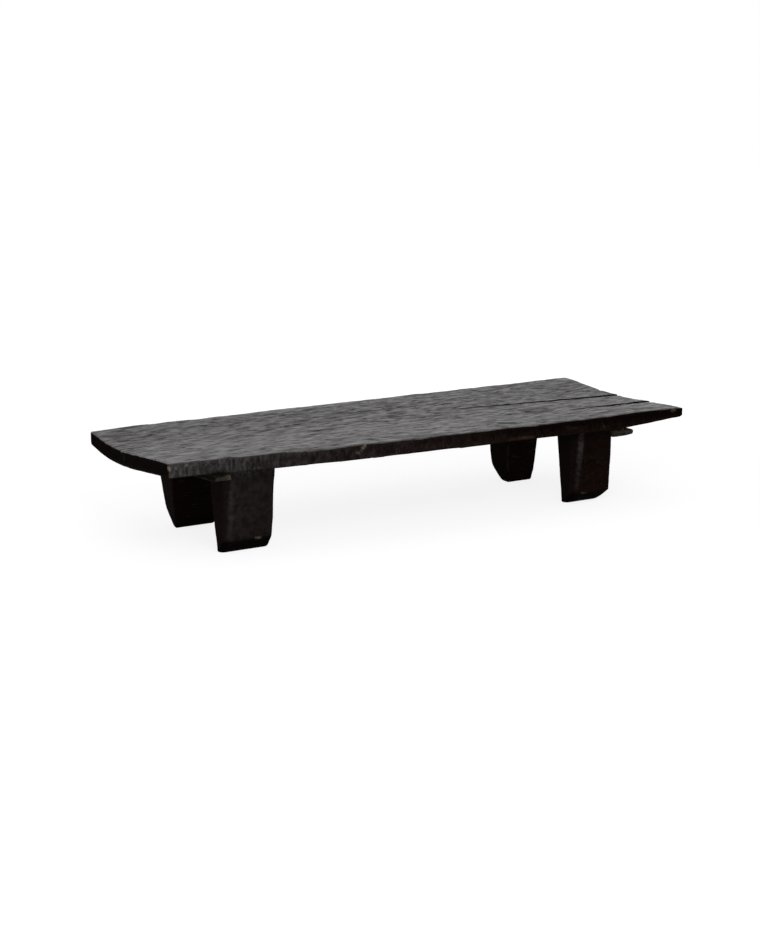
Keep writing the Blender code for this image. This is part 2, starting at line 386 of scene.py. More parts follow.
def loft(name: str, rings: np.ndarray) -> bpy.types.Mesh:
    """A closed mesh through equal rings of points, capped at both ends.

    Args:
        name: The mesh's name.
        rings: Points by ring, by place on the ring, by coordinate.

    Returns:
        The mesh.
    """
    levels, count, _ = rings.shape
    here = np.arange(levels * count).reshape(levels, count)
    after = np.roll(here, -1, axis=1)
    sides = np.stack([here[:-1], after[:-1], after[1:], here[1:]], axis=-1).reshape(-1, 4)
    caps = [here[0, ::-1].tolist(), here[-1].tolist()]
    return make_mesh(name, rings.reshape(-1, 3), sides.tolist() + caps)


def soften(corners: np.ndarray, count: int, passes: int) -> np.ndarray:
    """Points spaced evenly round a polygon, with its corners eased.

    Args:
        corners: The polygon's corners, one row each.
        count: The number of points.
        passes: How often the corners are eased.

    Returns:
        The points, one row each.
    """
    closed = np.vstack([corners, corners[:1]])
    lengths = np.concatenate([[0.0], np.cumsum(np.linalg.norm(np.diff(closed, axis=0), axis=1))])
    places = np.linspace(0.0, lengths[-1], count, endpoint=False)
    ring = np.stack([np.interp(places, lengths, closed[:, axis]) for axis in range(2)], axis=1)
    for _ in range(passes):
        ring = ring / 2 + (np.roll(ring, 1, axis=0) + np.roll(ring, -1, axis=0)) / 4
    return ring


def outward(ring: np.ndarray) -> np.ndarray:
    """The directions out of an anticlockwise ring of plane points.

    Args:
        ring: The points, one row each.

    Returns:
        Unit directions, one row each.
    """
    run = np.roll(ring, -1, axis=0) - np.roll(ring, 1, axis=0)
    turned = np.stack([run[:, 1], -run[:, 0]], axis=1)
    return turned / np.maximum(np.linalg.norm(turned, axis=1, keepdims=True), TINY)


@dataclass
class Deck:
    """The dished plank, with its adze marks, cracks and hewn edges."""

    length: float = 2.000
    left_width: float = 0.662
    middle_width: float = 0.706
    right_width: float = 0.714
    rim_height: float = 0.340
    edge: float = 0.050
    left_dish: float = 0.022
    right_dish: float = 0.013
    left_belly: float = 0.030
    right_belly: float = 0.047
    belly_power: float = 1.35
    hollow_shift: float = 0.30
    wind: float = 0.006
    left_thinning: float = 0.005
    right_thinning: float = 0.019
    taper_length: float = 0.320
    left_corner_radii: tuple[float, float] = (0.004, 0.016)
    right_corner_radii: tuple[float, float] = (0.010, 0.012)
    left_back_reach: float = 0.012
    right_back_reach: float = 0.006
    nose_length: float = 0.026
    nose_share: float = 0.30
    tip_lift: float = 0.007
    tip_start: float = 0.40
    tip_run: float = 0.60
    tip_back: float = 0.10
    tip_fade: float = 0.30
    crown_drop: float = 0.024
    crown_fade: float = 0.016
    bite_drop: float = 0.030
    bite_fade: float = 0.020
    rim_round: float = 0.005
    lower_round: float = 0.010
    rim_turns: tuple[int, ...] = (30, 60, 90)
    lower_turns: tuple[int, ...] = (0, 30, 60)
    wall_steps: int = 5
    stations: int = 280
    line_groups: tuple[int, int, int] = (51, 61, 74)
    side_bands: int = 8
    end_bands: int = 20
    lane: float = 0.3
    rim_lanes: tuple[float, float] = (81 / 7, 82 / 7)
    left_back_ramp: tuple[float, float] = (1.6, -0.6)
    right_back_ramp: tuple[float, float] = (1.0, 0.2)
    calm_share: float = 0.25
    calm_length: float = 0.060
    end_shift: float = 3.1
    side_shift: float = 5.7
    top_marks: tuple[ToolMarks, ...] = (
        ToolMarks(0.050, 0.030, 0.0013, 0.0010, 11),
        ToolMarks(0.150, 0.070, 0.0014, 0.0010, 23),
    )
    edge_marks: ToolMarks = ToolMarks(0.034, 0.030, 0.0014, 0.0009, 31)
    belly_marks: ToolMarks = ToolMarks(0.110, 0.042, 0.0022, 0.0016, 41)
    top_ripples: tuple[Ripple, ...] = (Ripple(0.0018, 0.34, 71, 0.16), Ripple(0.0008, 0.12, 72, 0.05))
    front_ripples: tuple[Ripple, ...] = (Ripple(0.0034, 0.27, 81), Ripple(0.0016, 0.075, 83))
    back_ripples: tuple[Ripple, ...] = (Ripple(0.0034, 0.27, 82), Ripple(0.0016, 0.075, 84))
    right_ripples: tuple[Ripple, ...] = (Ripple(0.0034, 0.16, 85), Ripple(0.0010, 0.045, 86))
    left_ripples: tuple[Ripple, ...] = (Ripple(0.0034, 0.16, 87), Ripple(0.0010, 0.045, 88))
    rim_ripples: tuple[Ripple, ...] = (Ripple(0.0030, 0.21, 89), Ripple(0.0012, 0.06, 90))
    hollows: tuple[Hollow, ...] = (
        Hollow(0.545, -0.080, 0.075, 0.050, 0.007, 4),
        Hollow(-0.420, 0.050, 0.150, 0.060, 0.004, 2),
    )
    cracks: tuple[Crack, ...] = (
        Crack(0.620, -0.150, -0.178, 0.0085, 0.022, 0.0026, 51),
        Crack(0.240, 0.106, 0.014, 0.0075, 0.022, 0.0030, 61),
    )
    bites: tuple[Bite, ...] = (Bite(-0.505, 0.070, 0.005), Bite(-0.130, 0.050, 0.003), Bite(0.330, 0.060, 0.003))

    @property
    def half(self) -> float:
        """Half the deck's length."""
        return self.length / 2

    def half_width(self, x: np.ndarray) -> np.ndarray:
        """Half the deck's width, wider to the right, with edges that bow a little.

        Args:
            x: Places along the bed.

        Returns:
            Half widths.
        """
        along = x / self.half
        slope = (self.right_width - self.left_width) / 2
        bow = (self.right_width + self.left_width) / 2 - self.middle_width
        return (self.middle_width + slope * along + bow * along * along) / 2

    def rim(self, x: np.ndarray, across: np.ndarray) -> np.ndarray:
        """The rim's height, with the wind that seasoning left in the log."""
        return self.rim_height + self.wind * x / self.half * across

    def edge_thickness(self, x: np.ndarray) -> np.ndarray:
        """The thickness at the long edges, thinner towards both ends.

        Args:
            x: Places along the bed.

        Returns:
            Thicknesses.
        """
        left = smooth((-x - self.half + self.taper_length) / self.taper_length)
        right = smooth((x - self.half + self.taper_length) / self.taper_length)
        return self.edge - self.left_thinning * left - self.right_thinning * right

    def hollow(self, x: np.ndarray, across: np.ndarray) -> np.ndarray:
        """How much of the hollow and the belly lies at a place: 1 in their middle and 0 at each edge."""
        shift = self.hollow_shift * (1 - x / self.half) / 2
        return np.maximum(0.0, 1 - ((across - shift) / (1 - shift * across)) ** 2)

    def top(self, x: np.ndarray, y: np.ndarray) -> np.ndarray:
        """The dished upper face, before any tool marks.

        Args:
            x: Places along the bed.
            y: Places across it.

        Returns:
            Heights.
        """
        across = np.clip(y / self.half_width(x), -1.0, 1.0)
        dish = self.left_dish + (self.right_dish - self.left_dish) * (x / self.half + 1) / 2
        return self.rim(x, across) - dish * self.hollow(x, across) ** 2

    def underside(self, x: np.ndarray, y: np.ndarray) -> np.ndarray:
        """The bellied lower face, before any tool marks. Past the edges it runs on level.

        Args:
            x: Places along the bed.
            y: Places across it.

        Returns:
            Heights.
        """
        across = np.clip(y / self.half_width(x), -1.0, 1.0)
        belly = self.left_belly + (self.right_belly - self.left_belly) * (x / self.half + 1) / 2
        return self.rim(x, across) - self.edge_thickness(x) - belly * self.hollow(x, across) ** self.belly_power

    def lines(self, x: np.ndarray) -> np.ndarray:
        """Where the mesh's lengthwise lines run: three of them keep to each crack.

        Args:
            x: The stations along the bed.

        Returns:
            Shares of the half width, by station and line.
        """
        width = self.half_width(x)
        stops = [-np.ones_like(x)]
        for crack in self.cracks:
            middle = crack.line(x) / width
            gap = crack.half_gap(x) / width
            stops += [middle - gap, middle, middle + gap]
        stops.append(np.ones_like(x))
        left, between, right = self.line_groups
        counts = (left, 1, 1, between, 1, 1, right)
        shares = []
        for start, stop, count in zip(stops, stops[1:], counts):
            shares += [start + (stop - start) * step / count for step in range(count)]
        return np.stack([*shares, stops[-1]], axis=1)

    def worked_top(self, x: np.ndarray, y: np.ndarray) -> np.ndarray:
        """The upper face as the adze left it and use has worn it, before the cracks are opened.

        Args:
            x: Places along the bed.
            y: Places across it.

        Returns:
            Heights.
        """
        height = self.top(x, y)
        for marks in self.top_marks:
            height = height + marks.rise(x, y)
        for ripple in self.top_ripples:
            height = height + ripple.height(x, y)
        for hollow in self.hollows:
            height = height - hollow.fall(x, y)
        for crack in self.cracks:
            height = height + crack.lift(x, y)
        return height

    def round_corners(self, x: np.ndarray, y: np.ndarray, width: np.ndarray) -> tuple[np.ndarray, np.ndarray]:
        """Rounds the deck's four corners in plan.

        Args:
            x: Places along the bed.
            y: Places across it.
            width: Half the deck's width there.

        Returns:
            The moved places along and across the bed.
        """
        left_radius, right_radius = self.left_corner_radii, self.right_corner_radii
        front_radius = np.where(x < 0, left_radius[0], right_radius[0])
        radius = np.where(y < 0, front_radius, np.where(x < 0, left_radius[1], right_radius[1]))
        over_x = np.abs(x) - self.half + radius
        over_y = np.abs(y) - width + radius
        reach = np.hypot(over_x, over_y)
        turn = (over_x > 0) & (over_y > 0) & (reach > radius)
        pull = np.where(turn, radius / np.maximum(reach, TINY), 1.0)
        x = np.where(turn, np.sign(x) * (self.half - radius + over_x * pull), x)
        y = np.where(turn, np.sign(y) * (width - radius + over_y * pull), y)
        return x, y

    def wander(self, points: np.ndarray) -> np.ndarray:
        """Draws the deck's outline off true, as hewing by eye does, and rounds its corners in plan.

        Args:
            points: Points of the true deck, one row each.

        Returns:
            The moved points.
        """
        x, y, z = points.T.copy()
        width = self.half_width(x)
        in_front = y < 0
        near_side = np.clip(np.abs(y) / width * self.side_bands - (self.side_bands - 1), 0.0, 1.0) ** 2
        near_end = np.clip(np.abs(x) / self.half * self.end_bands - (self.end_bands - 1), 0.0, 1.0) ** 2
        front = sum(ripple.height(x, self.lane) for ripple in self.front_ripples)
        back = sum(ripple.height(x, self.lane) for ripple in self.back_ripples)
        right = sum(ripple.height(y, self.lane) for ripple in self.right_ripples)
        left = sum(ripple.height(y, self.lane) for ripple in self.left_ripples)
        y += np.sign(y) * near_side * np.where(in_front, front, back)
        z += near_side * sum(ripple.height(x, np.where(in_front, *self.rim_lanes)) for ripple in self.rim_ripples)
        upper = smooth((z - self.rim_height + self.bite_drop) / self.bite_fade) * in_front
        for bite in self.bites:
            z -= bite.depth * np.exp(-(((x - bite.x) / bite.half_length) ** 2)) * near_side * upper
        front_end = smooth((self.tip_back - y) / self.tip_fade)
        crown = smooth((z - self.rim_height + self.crown_drop) / self.crown_fade)
        z += self.tip_lift * front_end * (crown * smooth((x - self.tip_start) / self.tip_run))
        nose = np.clip((x - self.half + self.nose_length) / self.nose_length, 0.0, 1.0) ** 2
        z += self.nose_share * nose * front_end * (self.rim_height - (self.edge - self.right_thinning) / 2 - z)
        x, y = self.round_corners(x, y, width)
        slope, start = self.left_back_ramp
        left = left + self.left_back_reach * smooth(y / width * slope + start)
        slope, start = self.right_back_ramp
        right = right + self.right_back_reach * smooth(y / width * slope + start)
        x += np.sign(x) * near_end * np.where(x > 0, right, left)
        return np.stack([x, y, z], axis=1)

    def edge_profile(self) -> list[tuple[float, float, float]]:
        """The rows of points down an edge.

        Returns:
            For each row, how far it lies inside the outline, and its drops as a length below the top and as a
            share of the way down to the lower round.
        """
        rows = []
        for turn in self.rim_turns:
            turn = math.radians(turn)
            rows.append((self.rim_round * (1 - math.sin(turn)), self.rim_round * (1 - math.cos(turn)), 0.0))
        rows += [(0.0, self.rim_round, step / self.wall_steps) for step in range(1, self.wall_steps)]
        for turn in self.lower_turns:
            turn = math.radians(turn)
            inset = self.lower_round * (1 - math.cos(turn))
            rows.append((inset, self.rim_round + self.lower_round * math.sin(turn), 1.0))
        return rows

    def grids(self) -> tuple[np.ndarray, np.ndarray]:
        """The points of the deck's two faces.

        Returns:
            The upper and the lower grid, by station, line and coordinate.
        """
        inner = self.half - self.rim_round
        x = np.linspace(-inner, inner, self.stations + 1)
        across = self.lines(x)
        top_x = np.repeat(x[:, None], across.shape[1], axis=1)
        top_y = across * (self.half_width(x) - self.rim_round)[:, None]
        top_z = self.worked_top(top_x, top_y)
        left, between, _ = self.line_groups
        for crack, line in zip(self.cracks, (left + 1, left + between + 3)):
            top_z[:, line] -= crack.depth * crack.gape(x)
        low_x = top_x * (self.half - self.lower_round) / inner
        low_y = across * (self.half_width(x) - self.lower_round)[:, None]
        marked = self.calm_share + (1 - self.calm_share) * smooth((self.half - np.abs(low_x)) / self.calm_length)
        low_z = self.underside(low_x, low_y) - marked * self.belly_marks.rise(low_x, low_y)
        return np.stack([top_x, top_y, top_z], axis=-1), np.stack([low_x, low_y, low_z], axis=-1)

    def rim_loop(self, lines: int) -> tuple[np.ndarray, np.ndarray]:
        """The grid's places once round the rim, from the front left corner.

        Args:
            lines: The number of steps across the grid.

        Returns:
            The stations and the lines of those places.
        """
        last = self.stations
        stations = [np.arange(last), np.full(lines, last), np.arange(last, 0, -1), np.zeros(lines, int)]
        across = [np.zeros(last, int), np.arange(lines), np.full(last, lines), np.arange(lines, 0, -1)]
        return np.concatenate(stations), np.concatenate(across)

    def edge_rows(
        self, top: np.ndarray, low: np.ndarray, rim: tuple[np.ndarray, np.ndarray]
    ) -> list[np.ndarray]:
        """The rows of points round the edge, with its tool marks.

        Args:
            top: The upper grid.
            low: The lower grid.
            rim: The stations and the lines of the rim's places.

        Returns:
            The rows, from the upper to the lower face.
        """
        station, line = rim
        out_x = np.where(station == self.stations, 1.0, np.where(station == 0, -1.0, 0.0))
        out_y = np.where(line == top.shape[1] - 1, 1.0, np.where(line == 0, -1.0, 0.0))
        x, y, start_z = top[rim].T
        wall = start_z - low[rim][:, 2] - self.rim_round - self.lower_round
        run = np.where(out_x != 0, y, x) + self.end_shift * out_x + self.side_shift * out_y
        rows = []
        for inset, drop, share in self.edge_profile():
            z = start_z - drop - wall * share
            mark = self.edge_marks.rise(run, z) * (inset < self.rim_round / 2)
            reach = self.rim_round - inset - np.abs(mark)
            rows.append(np.stack([x + out_x * reach, y + out_y * reach, z], axis=1))
        return rows

    def build(self) -> bpy.types.Mesh:
        """The deck's mesh: a fine grid on top, a coarser one below and rows of points round the edges.

        Returns:
            The mesh.
        """
        top, low = self.grids()
        rim = self.rim_loop(top.shape[1] - 1)
        rows = self.edge_rows(top, low, rim)
        points = self.wander(np.vstack([top.reshape(-1, 3), low.reshape(-1, 3), *rows]))
        number = np.arange(top.size // 3).reshape(top.shape[:2])
        upper = np.stack([number[:-1, :-1], number[1:, :-1], number[1:, 1:], number[:-1, 1:]], axis=-1)
        loops = [number[rim]]
        around = np.arange(len(loops[0]))
        loops += [2 * number.size + len(around) * row + around for row in range(len(rows))]
        loops.append(number.size + number[rim])
        faces = upper.reshape(-1, 4).tolist()
        for above, below in zip(loops, loops[1:]):
            faces += np.stack([above, below, np.roll(below, -1), np.roll(above, -1)], axis=-1).tolist()
        faces += self.lower_faces(number.size + number)
        return make_mesh("deck", points, faces)

    def lower_faces(self, number: np.ndarray) -> list[list[int]]:
        """Faces two grid steps wide for the underside, which keep every point of the rim.

        Args:
            number: The grid's point numbers.

        Returns:
            The points of each face.
        """
        last_i = number.shape[0] - 1
        last_j = number.shape[1] - 1
        faces = []
        for i in range(0, last_i, 2):
            for j in range(0, last_j, 2):
                face = [(i, j)]
                face += [(i, j + 1)] if i == 0 else []
                face.append((i, j + 2))
                face += [(i + 1, j + 2)] if j + 2 == last_j else []
                face.append((i + 2, j + 2))
                face += [(i + 2, j + 1)] if i + 2 == last_i else []
                face.append((i + 2, j))
                face += [(i + 1, j)] if j == 0 else []
                faces.append([int(number[place]) for place in face])
        return faces


@dataclass
class BlockLeg:
    """One hewn leg. Sides are named as seen from the front."""

    name: str
    side: Side
    end: End
    overhang: float
    foot_length: float
    left_batter: float
    right_batter: float
    inner: float
    setback: float
    ankle_depth: float
    swell: float
    left_chamfer: float
    right_chamfer: float
    foot_corner: float
    sole_depth: float
    seed: int
    bevel_height: float = 0.044
    bevel_power: float = 0.75
    fillet: float = 0.010
    bite: float = 0.002
    points: int = 116
    passes: int = 2
    sole_heights: tuple[float, ...] = (0.0, 0.0012, 0.003)
    bevel_steps: int = 7
    shank_steps: int = 28
    fillet_steps: int = 6
    girth: float = 0.55
    shave: float = 0.0005
    sole_wear: float = 0.004
    sole_wear_height: float = 0.005
    calm_foot: float = 0.030
    calm_root: float = 0.040

    def foot_sides(self, deck: Deck) -> tuple[float, float]:
        """The left and right sides at the foot, along the bed.

        Args:
            deck: The deck above.

        Returns:
            Both places.
        """
        near_end = self.end.value * (deck.half - self.overhang)
        far = near_end - self.end.value * self.foot_length
        return min(near_end, far), max(near_end, far)

    def middle(self, deck: Deck) -> float:
        """The middle of the foot, along the bed."""
        return sum(self.foot_sides(deck)) / 2

    def section(self, deck: Deck, height: float, top: float, flare: float) -> np.ndarray:
        """The leg's plan at one height.

        Args:
            deck: The deck above.
            height: Above the floor.
            top: Where the leg meets the deck.
            flare: How far the fillet widens the leg here.

        Returns:
            Six corners, anticlockwise for a back leg.
        """
        left, right = self.foot_sides(deck)
        left -= self.left_batter * height / top + flare
        right += self.right_batter * height / top + flare
        if height < self.bevel_height:
            bevel = (height / self.bevel_height) ** self.bevel_power
            depth = self.sole_depth + (self.ankle_depth - self.sole_depth) * bevel
            right -= self.foot_corner * (1 - bevel)
        else:
            above = (height - self.bevel_height) / (top - self.bevel_height)
            most = float(deck.half_width(self.middle(deck))) - self.setback - self.inner
            depth = self.ankle_depth + (most - self.ankle_depth) * above**self.swell
        left_flat = min(self.left_chamfer, depth / 2)
        right_flat = min(self.right_chamfer, depth / 2)
        near = self.inner - flare
        far = self.inner + depth + flare
        return np.array(
            [
                (left, near),
                (right, near),
                (right, far - right_flat),
                (right - right_flat, far),
                (left + left_flat, far),
                (left, far - left_flat),
            ]
        )

    def levels(self, top: float) -> list[tuple[float, float]]:
        """Heights of the leg's sections, each with the fillet's flare there.

        Args:
            top: Where the leg meets the deck.

        Returns:
            Pairs of a height and a flare, from the sole up.
        """
        heights = [(height, 0.0) for height in self.sole_heights]
        heights += [(self.bevel_height * step / self.bevel_steps, 0.0) for step in range(1, self.bevel_steps)]
        shank = top - self.fillet - self.bevel_height
        steps = self.shank_steps
        heights += [(self.bevel_height + shank * step / steps, 0.0) for step in range(steps + 1)]
        for step in range(1, self.fillet_steps + 1):
            turn = math.pi / 2 * step / self.fillet_steps
            flare = self.fillet * (1 - math.cos(turn))
            heights.append((top - self.fillet * (1 - math.sin(turn)), flare))
        return heights

    def build(self, deck: Deck) -> bpy.types.Mesh:
        """The leg's mesh, from its flat sole to a root inside the deck.

        Args:
            deck: The deck above.

        Returns:
            The mesh.
        """
        marks = ToolMarks(0.052, 0.034, 0.0013, 0.0008, self.seed)
        swelling = Ripple(0.0020, 0.12, self.seed + 5, 0.10)
        top = float(deck.underside(self.middle(deck), self.side.value * self.inner)) + self.bite
        run = np.arange(self.points) / self.points * self.girth
        rings = []
        for height, flare in self.levels(top):
            ring = soften(self.section(deck, height, top, flare), self.points, self.passes)
            fade = float(smooth(height / self.calm_foot) * smooth((top - height) / self.calm_root))
            cut = marks.rise(run, height) + swelling.height(run, height)
            worn_sole = self.sole_wear * max(0.0, 1 - height / self.sole_wear_height) ** 2
            ring = ring + outward(ring) * (cut * fade - self.shave - worn_sole)[:, None]
            x = ring[:, 0]
            y = self.side.value * ring[:, 1]
            lift = deck.underside(x, y) + self.bite - top
            rings.append(np.stack([x, y, height + lift * height / top], axis=1))
        x, y, _ = rings[-1].T
        rings.append(np.stack([x, y, (deck.underside(x, y) + deck.top(x, y)) / 2], axis=1))
        return loft(self.name, np.stack(rings))


LEGS = (
    BlockLeg(
        "front_left_leg", side=Side.FRONT, end=End.LEFT, overhang=0.229, foot_length=0.174,
        left_batter=0.024, right_batter=-0.019, inner=0.161, setback=0.049, ankle_depth=0.066, swell=0.95,
        left_chamfer=0.022, right_chamfer=0.008, foot_corner=0.004, sole_depth=0.024, seed=101,
    ),
    BlockLeg(
        "back_left_leg", side=Side.BACK, end=End.LEFT, overhang=0.227, foot_length=0.153,
        left_batter=0.014, right_batter=0.010, inner=0.175, setback=0.023, ankle_depth=0.077, swell=0.65,
        left_chamfer=0.008, right_chamfer=0.020, foot_corner=0.010, sole_depth=0.016, seed=111,
    ),
    BlockLeg(
        "front_right_leg", side=Side.FRONT, end=End.RIGHT, overhang=0.252, foot_length=0.162,
        left_batter=0.030, right_batter=-0.026, inner=0.186, setback=0.055, ankle_depth=0.082, swell=0.90,
        left_chamfer=0.026, right_chamfer=0.008, foot_corner=0.026, sole_depth=0.024, seed=121,
    ),
    BlockLeg(
        "back_right_leg", side=Side.BACK, end=End.RIGHT, overhang=0.288, foot_length=0.118,
        left_batter=0.0, right_batter=0.034, inner=0.163, setback=0.038, ankle_depth=0.114, swell=0.55,
        left_chamfer=0.008, right_chamfer=0.015, foot_corner=0.008, sole_depth=0.042, seed=131,
    ),
)

CHIPS = (
    Chip((-0.997, -0.330, 0.334), 0.009, 0.003, (0.7, 0.6, -0.3), 0.9),
    Chip((-0.936, -0.337, 0.339), 0.007, 0.002, (0.0, 0.6, -0.8), 0.6),
    Chip((0.638, -0.360, 0.303), 0.008, 0.004, (0.0, 0.8, 0.5), 0.1),
    Chip((-0.660, -0.227, 0.044), 0.007, 0.001, (0.0, 1.0, 0.0), 0.8),
    Chip((-0.649, -0.227, 0.044), 0.007, 0.001, (0.0, 1.0, 0.0), 0.8),
    Chip((0.620, -0.268, 0.046), 0.007, 0.001, (0.0, 1.0, 0.0), 0.4),
    Chip((0.632, -0.268, 0.046), 0.007, 0.001, (0.0, 1.0, 0.0), 0.3),
    Chip((0.998, 0.120, 0.330), 0.013, 0.004, (-0.8, 0.0, -0.5), 0.1),
    Chip((-0.998, 0.060, 0.322), 0.012, 0.004, (0.8, 0.0, -0.5), 0.0),
    Chip((-0.350, -0.348, 0.314), 0.007, 0.001, (0.0, 1.0, 0.0), 0.4),
    Chip((-0.342, -0.348, 0.321), 0.007, 0.001, (0.0, 1.0, 0.0), 0.7),
    Chip((-0.335, -0.348, 0.328), 0.007, 0.001, (0.0, 1.0, 0.0), 0.8),
    Chip((-0.328, -0.347, 0.335), 0.007, 0.001, (0.0, 1.0, 0.0), 0.6),
    Chip((0.944, -0.355, 0.333), 0.007, 0.001, (0.0, 1.0, 0.0), 0.3),
    Chip((0.950, -0.354, 0.340), 0.007, 0.001, (0.0, 1.0, 0.0), 0.5),
    Chip((0.957, -0.354, 0.334), 0.007, 0.001, (0.0, 1.0, 0.0), 0.4),
)

# Rubbed wear and painted highlights: the strips down the left chamfers of the two front legs are wear with a
# painted reflection, the short strips along the deck's front edge and its corners are painted highlights, and the
# two broad strips on the top are wear from sitting.
RUBS_AND_HIGHLIGHTS = (
    StripMask((-0.775, -0.290, 0.262), (-0.759, -0.250, 0.125), 0.010, 0.55),
    StripMask((-0.759, -0.250, 0.125), (-0.761, -0.226, 0.050), 0.008, 0.45),
    StripMask((0.582, -0.303, 0.285), (0.586, -0.290, 0.194), 0.010, 0.95),
    StripMask((0.586, -0.290, 0.194), (0.588, -0.268, 0.060), 0.010, 0.85),
    StripMask((0.592, 0.164, 0.150), (0.592, 0.164, 0.040), 0.006, 0.50),
    StripMask((-0.780, 0.250, 0.250), (-0.776, 0.215, 0.060), 0.045, 0.10),
    StripMask((-0.460, -0.345, 0.336), (-0.400, -0.347, 0.338), 0.005, 0.80),
    StripMask((0.474, -0.358, 0.316), (0.514, -0.358, 0.314), 0.009, 0.45),
    StripMask((0.941, -0.358, 0.330), (0.953, -0.356, 0.343), 0.004, 1.00),
    StripMask((0.950, -0.358, 0.326), (0.962, -0.356, 0.340), 0.003, 0.80),
    StripMask((-0.300, -0.348, 0.294), (-0.210, -0.349, 0.293), 0.010, 0.80),
    StripMask((0.237, -0.354, 0.297), (0.326, -0.355, 0.298), 0.010, 0.90),
    StripMask((0.628, -0.358, 0.298), (0.638, -0.358, 0.306), 0.004, 0.60),
    StripMask((-0.996, -0.331, 0.332), (-0.996, -0.330, 0.300), 0.004, 0.50),
    StripMask((-0.699, -0.342, 0.334), (-0.699, -0.342, 0.318), 0.004, 0.90),
    StripMask((-0.999, 0.036, 0.320), (-0.999, 0.036, 0.290), 0.004, 0.50),
    StripMask((-0.620, -0.240, 0.337), (-0.260, -0.180, 0.335), 0.080, 0.40),
    StripMask((-0.260, -0.180, 0.335), (0.060, -0.180, 0.335), 0.080, 0.50),
)

STAINS = (
    StripMask((0.510, -0.075, 0.320), (0.590, -0.075, 0.324), 0.030, 1.00),
    StripMask((0.405, -0.102, 0.327), (0.493, -0.114, 0.325), 0.014, 1.00),
    StripMask((0.264, -0.262, 0.337), (0.296, -0.292, 0.338), 0.012, 1.00),
    StripMask((-0.267, -0.281, 0.339), (-0.258, -0.299, 0.340), 0.012, 1.00),
    StripMask((0.040, 0.089, 0.322), (0.079, 0.099, 0.322), 0.022, 0.70),
    StripMask((-0.305, 0.014, 0.321), (-0.268, 0.013, 0.321), 0.024, 0.70),
)


@dataclass(frozen=True)
class Band:
    """A run of values, and the shares that its ends map onto."""

    low: float
    high: float
    start: float = 0.0
    stop: float = 1.0


@dataclass(frozen=True)
class Noise:
    """A noise: how closely it is packed along each axis, how fine it is, and how many finer layers it has."""

    stretch: Point
    scale: float
    detail: float
    turn: Point = (0.0, 0.0, 0.0)
    distortion: float = 0.3
    roughness: float = 0.6


class Nodes:
    """A node tree, with short ways to add to it."""

    def __init__(self, tree: bpy.types.NodeTree) -> None:
        """Takes up a tree."""
        self.tree = tree

    def add(self, kind: str, inputs: dict[str | int, Paint | float], **settings: str) -> bpy.types.Node:
        """Adds a node.

        Args:
            kind: The node's type.
            inputs: Values or sockets for its inputs, by name or number.
            **settings: The node's own options.

        Returns:
            The node.
        """
        node = self.tree.nodes.new(kind)
        for key, value in settings.items():
            setattr(node, key, value)
        for key, value in inputs.items():
            if isinstance(value, Socket):
                self.tree.links.new(value, node.inputs[key])
            else:
                node.inputs[key].default_value = value
        return node

    def math(self, operation: str, one: Amount, two: Amount = 0.0) -> Socket:
        """One sum of two values."""
        return self.add("ShaderNodeMath", {0: one, 1: two}, operation=operation).outputs[0]

    def times(self, first: Amount, *others: Amount) -> Socket:
        """The product of two or more values."""
        return functools.reduce(functools.partial(self.math, "MULTIPLY"), others, first)

    def seen(self) -> Socket:
        """A share that is 1 for what the camera sees, straight on, in a gloss or through glass.

        Returns:
            The share.
        """
        rays = self.add("ShaderNodeLightPath", {}).outputs
        straight_or_gloss = self.math("MAXIMUM", rays["Is Camera Ray"], rays["Is Glossy Ray"])
        return self.math("MAXIMUM", straight_or_gloss, rays["Is Transmission Ray"])


class Sheet(Nodes):
    """A material's nodes, with what the finishes share."""

    def __init__(self, name: str) -> None:
        """Starts a material.

        Args:
            name: The material's name.
        """
        self.material = bpy.data.materials.new(name)
        self.material.use_nodes = True
        super().__init__(self.material.node_tree)
        self.shader = self.tree.nodes["Principled BSDF"]
        self.place = self.add("ShaderNodeTexCoord", {}).outputs["Object"]
        self.along = list(self.add("ShaderNodeSeparateXYZ", {"Vector": self.place}).outputs)
        normal = self.add("ShaderNodeNewGeometry", {}).outputs["Normal"]
        self.facing = list(self.add("ShaderNodeSeparateXYZ", {"Vector": normal}).outputs)

    def noise(self, noise: Noise) -> Socket:
        """Adds a noise.

        Args:
            noise: What it is like.

        Returns:
            The noise.
        """
        mapping = {"Vector": self.place, "Rotation": noise.turn, "Scale": noise.stretch}
        mapped = self.add("ShaderNodeMapping", mapping).outputs[0]
        inputs = {"Vector": mapped, "Scale": noise.scale, "Detail": noise.detail}
        inputs |= {"Roughness": noise.roughness, "Distortion": noise.distortion}
        return self.add("ShaderNodeTexNoise", inputs).outputs[0]

    def span(self, value: Socket, band: Band) -> Socket:
        """Maps the values in a band onto its shares."""
        limits = {"From Min": band.low, "From Max": band.high, "To Min": band.start, "To Max": band.stop}
        return self.add("ShaderNodeMapRange", {"Value": value, **limits}).outputs[0]

    def mix(self, share: Amount, one: Paint, two: Paint) -> Socket:
        """A mix of two colours."""
        one, two = (paint if isinstance(paint, Socket) else (*paint, 1.0) for paint in (one, two))
        return self.add("ShaderNodeMix", {0: share, 6: one, 7: two}, data_type="RGBA").outputs[2]

    def attribute(self, name: str) -> Socket:
        """A value that the mesh carries at its points."""
        return self.add("ShaderNodeAttribute", {}, attribute_name=name).outputs["Fac"]


def scaled(colour: Colour, share: float) -> Colour:
    """A darker or lighter shade of a colour."""
    return tuple(share * part for part in colour)


@dataclass(frozen=True)
class Patterns:
    """The noises that a finish's colour, relief and gloss share."""

    streaks: Socket
    fibres: Socket
    flakes: Socket
    checks: Socket
    mottles: Socket
    patches: Socket
    pits: Socket


